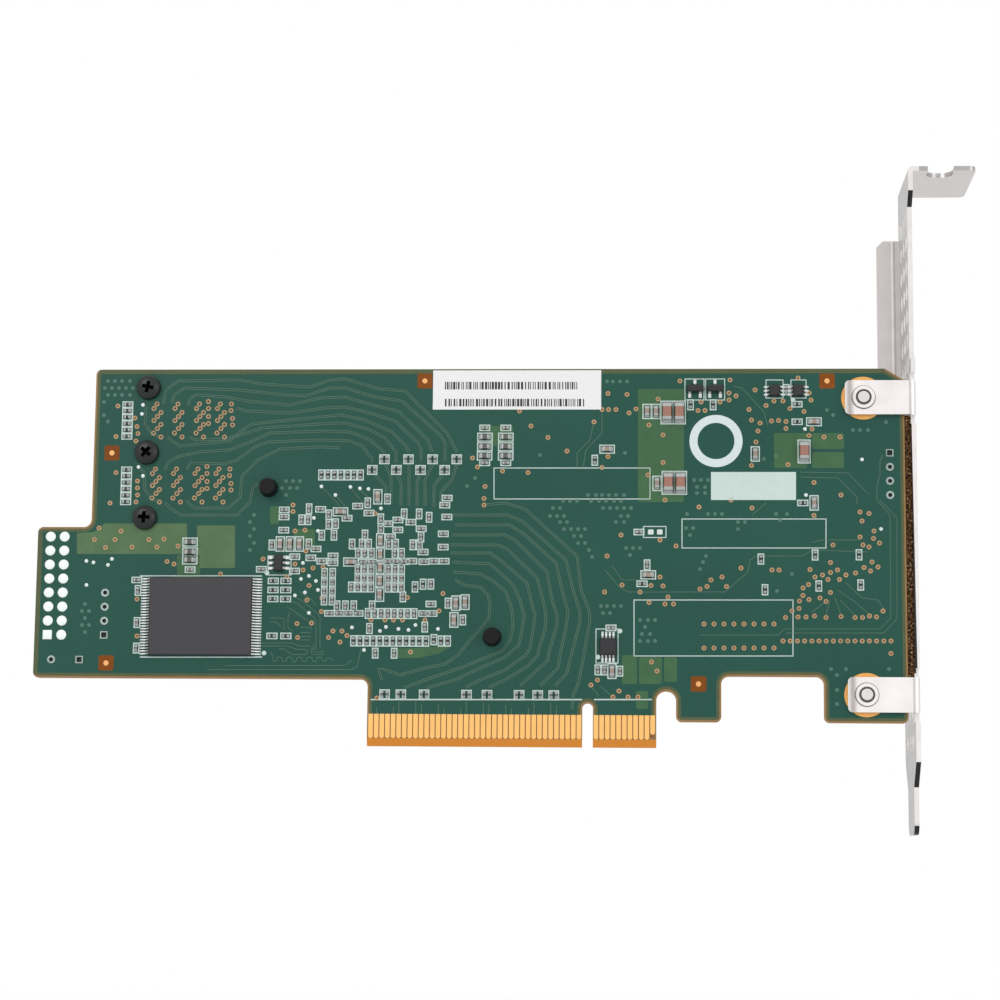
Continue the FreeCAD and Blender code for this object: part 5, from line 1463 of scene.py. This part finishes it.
chips_behind = {
    "chip_resistors": column(1.2, 27.4, 1.9, 5) + column(10.6, 27.4, 1.9, 5) + column(47.0, 17.5, 2.1, 7)
    + level_row(30.5, 21.0, 2.2, 5) + level_row(30.5, 24.0, 2.2, 5),
    "small_capacitors": level_row(-58.5, 53.4, 2.1, 20) + column(-10.3, 17.5, 2.3, 14)
    + column(-7.6, 37.5, 2.3, 5) + column(31.6, 43.5, 2.3, 6) + column(6.8, 43.5, 2.3, 6)
    + column(-79.5, 19.0, 2.2, 6) + column(-76.5, 19.0, 2.2, 6),
    "coupling_capacitors": [(-36.5 + 4.0 * step + side, 9.9, False) for step in range(8)
                            for side in (-0.45, 0.45)],
    "medium_capacitors": [(18.6, 45.2, False), (22.2, 45.2, False), (43.5, 45.2, False),
                          (47.1, 45.2, False), (-70.5, 21.0, False), (-70.5, 25.0, False),
                          (-66.8, 21.0, False)],
    "ferrite_beads": [(-66.8, 25.0, False), (26.5, 32.0, True), (29.0, 32.0, True)],
    "bulk_capacitors": [(10.4, 60.0, False), (14.6, 60.0, False), (18.8, 60.0, False), (35.4, 60.0, False),
                        (39.6, 60.0, False)]}
print_white = (0.60, 0.72, 0.675)
print_finish = new_finish("white_print", print_white, 0.6, variation=0.15, scale=1500, spread=0.08,
                          gloss=0.3)
end_finish = new_finish("end_tin", end_tin, 0.38, metallic=0.5, variation=0.2, scale=1800)


def two_ended_chip(width, height, length, end, body_finish):
    """One chip, long in Z, standing on the solder face at the origin, with its ends and solder."""
    skin = min(width, height) * skin_share
    body = soft_block(width * body_share, height * body_share, length * body_length_share,
                      height * body_edge_share)
    body.data.transform(Matrix.Translation((0, -height / 2, 0)))
    body.data.materials.append(body_finish)
    pieces = [body]
    for way in (-1, 1):
        cap = bare_cube()
        for vertex in cap.data.vertices:
            outer = vertex.co.z * way > 0 and vertex.co.y < 0
            vertex.co = (vertex.co.x * (width - (skin if outer else 0)),
                         (vertex.co.y - 0.5) * (height - (skin if outer else 0)),
                         way * (length - end) / 2 + vertex.co.z * (end - (skin if outer else 0)))
        cap.data.materials.append(end_finish)
        pieces.append(cap)
        fillet = bare_cube()
        reach = length * fillet_reach_share
        for vertex in fillet.data.vertices:
            foot = vertex.co.z * way > 0
            up = vertex.co.y < 0
            rise = height * (fillet_foot_height if foot else fillet_head_height)
            vertex.co = (vertex.co.x * width * (fillet_head_width if up else fillet_foot_width),
                         -rise if up else 0,
                         way * (length / 2 + (reach if foot else -end / 2)))
        fillet.data.materials.append(end_finish)
        pieces.append(fillet)
    return joined(pieces)


def behind(x, z, upright=True):
    """The place of a piece of the solder face that stands on the component side instead."""
    turn = Matrix.Identity(4) if upright else Matrix.Rotation(math.pi / 2, 4, "Y")
    return Matrix.Translation((x * MM, part_face, z * MM)) @ Matrix.Rotation(math.pi, 4, "Z") @ turn


def print_frame(width, length):
    """One printed frame on the solder face round the origin."""
    bpy.ops.object.select_all(action="DESELECT")
    bpy.ops.mesh.primitive_plane_add(size=1, rotation=(math.pi / 2, 0, 0))
    frame_piece = bpy.context.object
    bpy.ops.object.transform_apply(location=True, rotation=True, scale=True)
    frame_piece.data.transform(Matrix.Diagonal((width * MM, 1, length * MM, 1)))
    bordered(frame_line, frame_rise * MM)
    frame_piece.data.materials.append(print_finish)
    return frame_piece


small_finish = new_finish("small_ceramic", capacitor_tan, 0.55, variation=0.25, scale=1500)
medium_finish = new_finish("medium_ceramic", medium_tan, 0.5, variation=0.25, scale=1200)
bulk_finish = new_finish("bulk_ceramic", bulk_brown, 0.45, variation=0.2, scale=900)
resistor_finish = new_finish("resistor_glass", resistor_black, 0.35, variation=0.2, scale=1500)
coupling_finish = new_finish("coupling_ceramic", coupling_grey, 0.5, variation=0.25, scale=1500)
ferrite_finish = new_finish("ferrite_body", ferrite_grey, 0.5, variation=0.2, scale=1200)
for node, body_finish, slot, end_share, margin in (
        ("chip_resistors", resistor_finish, "resistor_coating", 0.26, (0.68, 1.0)),
        ("small_capacitors", small_finish, "capacitor_ceramic", 0.27, (0.68, 0.95)),
        ("coupling_capacitors", coupling_finish, "capacitor_ceramic", 0.27, None),
        ("medium_capacitors", medium_finish, "capacitor_ceramic", 0.24, (0.85, 1.2)),
        ("ferrite_beads", ferrite_finish, "ferrite", 0.24, (0.85, 1.2)),
        ("bulk_capacitors", bulk_finish, "capacitor_ceramic", 0.20, (0.75, 1.35))):
    places = []
    boxes = solids_of(node)
    for low, high in boxes:
        size = high - low
        turn = Matrix.Identity(4) if size.z > size.x else Matrix.Rotation(math.pi / 2, 4, "Y")
        places.append(Matrix.Translation(foot_of(low, high)) @ turn)
    long_side = max(size.x, size.z)
    short_side = min(size.x, size.z)
    chip = two_ended_chip(short_side, size.y, long_side, long_side * end_share, body_finish)
    row = stamped(chip, node + "_soldered", places)
    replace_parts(row, node)
    places_behind = [behind(*place) for place in chips_behind[node]]
    chip = two_ended_chip(short_side, size.y, long_side, long_side * end_share, body_finish)
    stamped(chip, node + "_behind", places_behind)
    if margin:
        outline = print_frame(short_side / MM + margin[0], long_side / MM + margin[1])
        stamped(outline, node + "_frames", places + places_behind)
    else:
        middles = [(low + high) / 2 for low, high in boxes]
        middles.sort(key=lambda point: (round(point.z, 4), point.x))
        pairs = [(first + second) / 2 for first, second in zip(middles[::2], middles[1::2])]
        outline = print_frame(*pair_frame)
        stamped(outline, node + "_frames",
                [Vector((point.x, solder_face, point.z)) for point in pairs])


# Header positions
# Two columns of header holes filled with solder, which stands up in flat bright domes, and rows of open
# plated holes with a tinned land.
dome_radius = 0.92
dome_steps = [(0.90, 0.10), (0.78, 0.20), (0.55, 0.27), (0.25, 0.30)]
dome_smooth = math.radians(35)
tail_land = (0.90, 0.12, 0.5, -0.06)
tail_sides = 20
square_share = 1.3
hole_radius = 0.38
land_radius = 0.72
hole_land_rise = 0.05
square_rim_share = 0.55
plug_sink = 0.45
land_dull = (0.34, 0.41, 0.38)
hole_green = (0.030, 0.046, 0.040)
solder_bright = (0.93, 1.0, 0.965)
solder_finish = new_finish("bright_solder", solder_bright, 0.30, metallic=0.12, variation=0.08, scale=900)
hole_finish = new_finish("plugged_hole", hole_green, 0.6, variation=0.3, scale=2000, gloss=0.2)
dull_finish = new_finish("dull_tin", land_dull, 0.42, metallic=0.4, variation=0.9, scale=1000)


def solder_dome(sides, turn, wide=1.0):
    """One flat dome of solder on the solder face at the origin."""
    dome = grown(sides, dome_radius, dome_steps)
    dome.data.transform(Matrix.Rotation(turn, 4, "Y") @ Matrix.Diagonal((wide, 1, wide, 1)))
    dome.data.materials.append(solder_finish)
    return dome


header_places = [foot_of(*box) for box in solids_of("header_solder")]
header_places.sort(key=lambda point: (round(point.x, 4), point.z))
stamped(solder_dome(4, math.pi / 4, square_share), "header_square_solder", header_places[:1])
domes = stamped(solder_dome(20, 0), "header_round_solder", header_places[1:])
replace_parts(domes, "header_solder")
bpy.ops.object.shade_smooth_by_angle(angle=dome_smooth)
stamped(round_land(*tail_land, [solder_finish, solder_finish], tail_sides), "header_solder_behind",
        [behind(place.x / MM, place.z / MM) for place in header_places])


def open_land(sides, turn):
    """A tinned land with a plated hole that is closed half way down."""
    land = disc(sides, land_radius)
    wide = square_share if sides == 4 else 1.0
    land.data.transform(Matrix.Rotation(turn, 4, "Y") @ Matrix.Diagonal((wide, 1, wide, 1)))
    edit_all()
    raise_faces(hole_land_rise * MM)
    rim_share = square_rim_share if sides == 4 else 1
    bpy.ops.mesh.inset(thickness=(land_radius - hole_radius) * MM * rim_share)
    raise_faces(-plug_sink * MM)
    bpy.ops.object.mode_set(mode="OBJECT")
    keep_faces(land, lambda middle, normal: abs(middle.y) > weld_reach * MM or abs(normal.y) < flat_from)
    land.data.materials.append(dull_finish)
    land.data.materials.append(hole_finish)
    for polygon in land.data.polygons:
        polygon.material_index = 1 if polygon.center.y > hole_land_rise * MM else 0
    return land


def on_both_faces(places):
    """Places in millimetres on the solder side and on the component side."""
    in_front = [Vector((x * MM, solder_face, z * MM)) for x, z in places]
    return in_front + [behind(x, z) for x, z in places]


square_holes = [hole_places[0], hole_places[7], hole_places[9]]
round_holes = [place for place in hole_places if place not in square_holes]
stamped(open_land(24, 0), "open_hole_lands", on_both_faces(round_holes))
stamped(open_land(4, math.pi / 4), "open_square_lands", on_both_faces(square_holes))


# White print
# Screen-printed ink on the solder side: outlined fields, a filled box, an inspection ring, the outlines
# of the leaded chips and a line over the edge connector's contacts.
print_line = 0.29
print_rise = 0.03
print_boxes = [(494, 468, 650, 499), (682, 519, 826, 548), (634, 600, 793, 656), (685, 379, 704, 400),
               (705.6, 379, 724.6, 400), (766, 380, 783, 398), (791, 380, 806, 398), (596, 629, 618, 663),
               (268, 556, 291, 575), (643.5, 526.5, 666, 537.5)]
bare_pads = [(648, 529.5, 653.5, 534.5), (657, 529.5, 662.5, 534.5)]
bare_pad_corner = 0.15
print_strokes = [[(370.6, 699.6), (582, 699.6)], [(594, 699.6), (652, 699.6)], [(140, 576), (262, 576)],
                 [(140, 657), (262, 657)]]
ring_mark = (716, 441)
ring_mark_outer = 4.75
ring_mark_inner = 3.3
filled_box = (711, 472, 796, 500)
dot_marks = [(264, 653), (620, 631), (598, 657), (793, 400), (267, 573)]
dot_land = (0.42, 0.03, 0.2, 0.0)
ring_white = (0.69, 0.785, 0.78)
outline_lines = [all_on_card(box_corners(*box)) for box in print_boxes]
boxes_piece = strokes("outlines", outline_lines, print_line, print_rise, closed=True)
stroke_lines = [all_on_card(line) for line in print_strokes]
strokes_piece = strokes("strokes", stroke_lines, print_line, print_rise)
filled = flat_plate("filled", box_corners(*filled_box), print_rise)
mark = disc(ring_sides, ring_mark_outer)
bordered(ring_mark_outer - ring_mark_inner, print_rise * MM)
mark.data.transform(Matrix.Translation(on_card(*ring_mark)))
ring_print_finish = new_finish("ring_print", ring_white, 0.6, variation=0.12, scale=1500, gloss=0.3)
finished(mark, "ring_print", [ring_print_finish])
finished(joined([boxes_piece, strokes_piece, filled]), "white_print", [print_finish])
stamped(round_land(*dot_land, [print_finish, print_finish]), "pin_one_dots",
        all_on_card(dot_marks))
bare_plates = [flat_plate("pad", box_corners(*box), print_rise, bare_pad_corner) for box in bare_pads]
finished(joined(bare_plates), "bare_pads", [tin_finish])


# Paper label
# A white paper label near the top edge. It carries two plain rows of upright bars of seeded widths, which
# stand for no number.
paper_white = (0.86, 0.865, 0.86)
ink_black = (0.02, 0.02, 0.022)
bar_rows = [(445, 580, 382, 389.5), (445, 587, 399, 406.5)]
bar_seed = 7
bar_lift = 0.02
bar_end = 3
bar_widths = (0.8, 0.8, 1.1, 1.6, 2.2)
bar_gaps = (0.9, 0.9, 1.3, 1.9)
paper_finish = new_finish("label_paper", paper_white, 0.7, variation=0.05, scale=1500)
ink_finish = new_finish("label_ink", ink_black, 0.6, variation=0.2, scale=1500)
dress("paper_label", paper_finish)
label_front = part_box("paper_label")[0].y
draw = random.Random(bar_seed)
bars = []
for left, right, top, bottom in bar_rows:
    across = left
    while across < right - bar_end:
        thick = draw.choice(bar_widths)
        bars.append(box_corners(across, top, across + thick, bottom))
        across += thick + draw.choice(bar_gaps)
bar_piece = joined([flat_plate("bar", corners, bar_lift) for corners in bars])
bar_piece.data.transform(Matrix.Translation((0, label_front - solder_face, 0)))
finished(bar_piece, "label_bars", [ink_finish])


# Power and clock pieces of the component side
# Shielded inductors with dark ferrite cores on wide lands, leadless regulators with a row of lands on each
# side, yellow moulded capacitors with a brown band and folded tin ends, and a ceramic oscillator with a
# metal lid. Each stands in a printed frame, and the supplies stand on pours.
core_grey = (0.10, 0.10, 0.105)
moulded_yellow = (0.55, 0.36, 0.07)
band_brown = (0.16, 0.075, 0.025)
ceramic_dark = (0.045, 0.042, 0.040)
lid_metal = (0.66, 0.64, 0.58)
regulator_lands = 7
regulator_pitch = 0.65
regulator_land = (0.34, 0.1, 0.9)
regulator_land_edge = 0.02
frame_gap = 1.1
leads_beyond = 2.6
moulding_inset = 0.1
moulding_edge = 0.15
band_from = 0.5
band_to = 1.4
band_inset = 0.2
band_rise = 0.01
band_edge = 0.02
fold_reach = 0.9
fold_rise = 1.3
fold_half = 1.2
fold_skin = 0.02
fold_edge = 0.05
ceramic_edge = 0.08
lid_inset = 0.35
lid_sunk = 0.4
lid_edge = 0.12
inductor_land = (0.45, 0.6)
inductor_land_inset = 1.0
clock_land = (0.3, 0.9)
wide_land_levels = (part_face / MM - 0.05, part_face / MM + 0.06)
dress("power_inductors", new_finish("inductor_core", core_grey, 0.5, variation=0.25, scale=1200, bump=0.2))
yellow_finish = new_finish("yellow_moulding", moulded_yellow, 0.5, variation=0.15, scale=1500)
band_finish = new_finish("capacitor_band", band_brown, 0.5, variation=0.2, scale=1500)
ceramic_finish = new_finish("oscillator_ceramic", ceramic_dark, 0.5, variation=0.2, scale=1500)
lid_finish = new_finish("oscillator_lid", lid_metal, 0.35, metallic=0.8)


def block_at(low, high, edge, finish):
    """A block with broken edges between two corners given in millimetres."""
    low, high = Vector(low) * MM, Vector(high) * MM
    size = high - low
    block = soft_block(size.x, size.y, size.z, edge * MM)
    block.data.transform(Matrix.Translation((low + high) / 2))
    block.data.materials.clear()
    block.data.materials.append(finish)
    return block


def boxes_in_mm(node):
    """The lowest and the highest corner of each solid of a node, in millimetres."""
    return [(low / MM, high / MM) for low, high in solids_of(node)]


def ends_of(low, high, beyond, within):
    """The two stretches that reach beyond and within both ends of a piece."""
    return ((low - beyond, low + within), (high - within, high + beyond))


stores = []
for low, high in boxes_in_mm("storage_capacitors"):
    waist = (low.z + high.z) / 2
    stores.append(block_at((low.x + moulding_inset, low.y + moulding_inset, low.z),
                           (high.x - moulding_inset, high.y, high.z), moulding_edge, yellow_finish))
    stores.append(block_at((low.x + band_from, high.y - moulding_inset, low.z + band_inset),
                           (low.x + band_to, high.y + band_rise, high.z - band_inset), band_edge,
                           band_finish))
    for left, right in ends_of(low.x, high.x, fold_skin, fold_reach):
        stores.append(block_at((left, low.y, waist - fold_half),
                               (right, low.y + fold_rise, waist + fold_half), fold_edge, end_finish))
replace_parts(finished(joined(stores), "moulded_stores", []), "storage_capacitors")
low, high = (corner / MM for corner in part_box("clock_oscillator"))
lid = [block_at(low, (high.x, high.y - lid_inset, high.z), ceramic_edge, ceramic_finish),
       block_at((low.x + lid_inset, high.y - lid_sunk, low.z + lid_inset),
                (high.x - lid_inset, high.y, high.z - lid_inset), lid_edge, lid_finish)]
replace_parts(finished(joined(lid), "lidded_oscillator", []), "clock_oscillator")


def wide_land(left, right, bottom, top):
    """One wide land on the component side."""
    under_level, over_level = wide_land_levels
    return block_at((left, under_level, bottom), (right, over_level, top), land_edge, land_finish)


wide_lands = []
for low, high in boxes_in_mm("power_inductors"):
    for left, right in ends_of(low.x, high.x, *inductor_land):
        wide_lands.append(wide_land(left, right, low.z + inductor_land_inset, high.z - inductor_land_inset))
for low, high in boxes_in_mm("clock_oscillator"):
    for left, right in ends_of(low.x, high.x, *clock_land):
        for bottom, top in ends_of(low.z, high.z, *clock_land):
            wide_lands.append(wide_land(left, right, bottom, top))
finished(joined(wide_lands), "wide_lands", [])
land_places = []
for low, high in boxes_in_mm("regulator_chips"):
    middle = (low + high) / 2
    half = (high.x - low.x) / 2
    for step in range(regulator_lands):
        along = (step - regulator_lands // 2) * regulator_pitch
        land_places += [behind(middle.x + along, middle.z + side * half) for side in (-1, 1)]
        land_places += [behind(middle.x + side * half, middle.z + along, False) for side in (-1, 1)]
land = soft_block(*(side * MM for side in regulator_land), regulator_land_edge * MM)
land.data.materials.append(land_finish)
stamped(land, "regulator_lands", land_places)

frames = []
for node in ("power_inductors", "regulator_chips", "storage_capacitors", "clock_oscillator", "boot_chip"):
    beyond = leads_beyond if node == "boot_chip" else 0
    for low, high in boxes_in_mm(node):
        outline = print_frame(high.x - low.x + frame_gap + beyond, high.z - low.z + frame_gap)
        outline.data.transform(behind((low.x + high.x) / 2, (low.z + high.z) / 2))
        frames.append(outline)
finished(joined(frames), "supply_frames", [])


# Copper of the component side
# The same plated holes come out here wherever no part covers them. Pairs run from the ports to the heat
# sink's top edge and from the contacts to its bottom edge, and single lines leave the boot chip. The
# supplies stand on pours.
pours_behind = [((8.0, 42.5), (26.0, 58.0)), ((33.0, 42.5), (51.0, 58.0)), ((8.0, 58.4), (26.0, 62.4)),
                ((33.0, 58.4), (44.0, 62.4))]
covers = ("port_shell", "heat_sink", "power_inductors", "regulator_chips", "storage_capacitors",
          "boot_chip", "boot_chip_leads", "clock_oscillator", "bracket_screws")
cover_margin = 0.7
chip_clear = 1.3
port_lines = 8
port_line_step = 1.55
port_line_top = 1.0
port_turn_first = 4.0
port_turn_step = 5.2
port_slant = 3.0
contact_lines = 17
contact_line_first = -3.5
contact_line_step = 2.0
contact_rise = 5.5
contact_slant = 1.5
under_sink = 0.5
boot_lines = 6
boot_line_start = (13.0, 28.5)
boot_line_end = 45.0
boot_line_step = 1.3
boot_turn = 22.0
boot_turn_step = 1.2
boot_slant = 4.0
pour_root = 0.02
pour_edge = 0.004
over_contacts = 2.4
over_contacts_ends = ((-38.6, -1.2), (1.2, 11.6))
pour_levels = (part_face / MM - pour_root, part_face / MM + pour_lift)
plates = [block_at((left, pour_levels[0], bottom), (right, pour_levels[1], top), pour_edge, pour_finish)
          for (left, bottom), (right, top) in pours_behind]
finished(joined(plates), "pours_behind", [])
cover_boxes = [box for node in covers for box in solids_of(node)]


def uncovered(point):
    """Whether no part of the component side stands over a point."""
    margin = cover_margin * MM
    return not any(low.x - margin < point.x < high.x + margin and low.z - margin < point.z < high.z + margin
                   for low, high in cover_boxes)


chip_points = [behind(*place).translation for row in chips_behind.values() for place in row]


def free_behind(places):
    """The places of plated holes that come out on the component side beside its parts."""
    points = [point for point in all_on_card(places) if uncovered(point)]
    return [behind(point.x / MM, point.z / MM) for point in points
            if all(math.hypot(point.x - chip.x, point.z - chip.z) > chip_clear * MM
                   for chip in chip_points)]


def line_behind(*places):
    """A line on the component side through places in millimetres."""
    return [Vector((x * MM, part_face, z * MM)) for x, z in places]


stamped(round_land(*ring_via, [copper_finish, olive_finish]), "ring_vias_behind",
        free_behind(ring_vias))
stamped(round_land(*tented_via, [tented_finish, tented_finish], tented_sides), "tented_vias_behind",
        free_behind(tented_vias))
sink_low, sink_high = (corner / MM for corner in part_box("heat_sink"))
shell_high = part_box("port_shell")[1] / MM
lines_behind = []
for step in range(port_lines):
    high_z = shell_high.z - port_line_top - step * port_line_step
    turn_x = sink_high.x - port_turn_first - step * port_turn_step
    lines_behind += pair_of(line_behind((shell_high.x, high_z), (turn_x - port_slant, high_z),
                                        (turn_x, high_z - port_slant), (turn_x, sink_high.z - under_sink)))
foot_z = contact_top / MM
for step in range(contact_lines):
    foot_x = contact_line_first - contact_line_step * step
    head_x = foot_x - contact_slant
    lines_behind += pair_of(line_behind((foot_x, foot_z), (foot_x, foot_z + contact_rise),
                                        (head_x, foot_z + contact_rise + contact_slant),
                                        (head_x, sink_low.z + under_sink)))
for step in range(boot_lines):
    start_x, start_z = boot_line_start
    start_z += boot_line_step * step
    end_z = start_z - boot_slant
    turn_x = boot_turn + boot_turn_step * step
    lines_behind.append(line_behind((start_x, start_z), (turn_x, start_z), (turn_x + boot_slant, end_z),
                                    (boot_line_end, end_z)))
finished(strokes("traces_behind", lines_behind, pair_line, trace_rise, level=part_face), "traces_behind",
         [trace_finish])
contact_prints = [line_behind(*((x, foot_z + over_contacts) for x in ends)) for ends in over_contacts_ends]
finished(strokes("print_behind", contact_prints, print_line, print_rise, level=part_face), "print_behind",
         [print_finish])
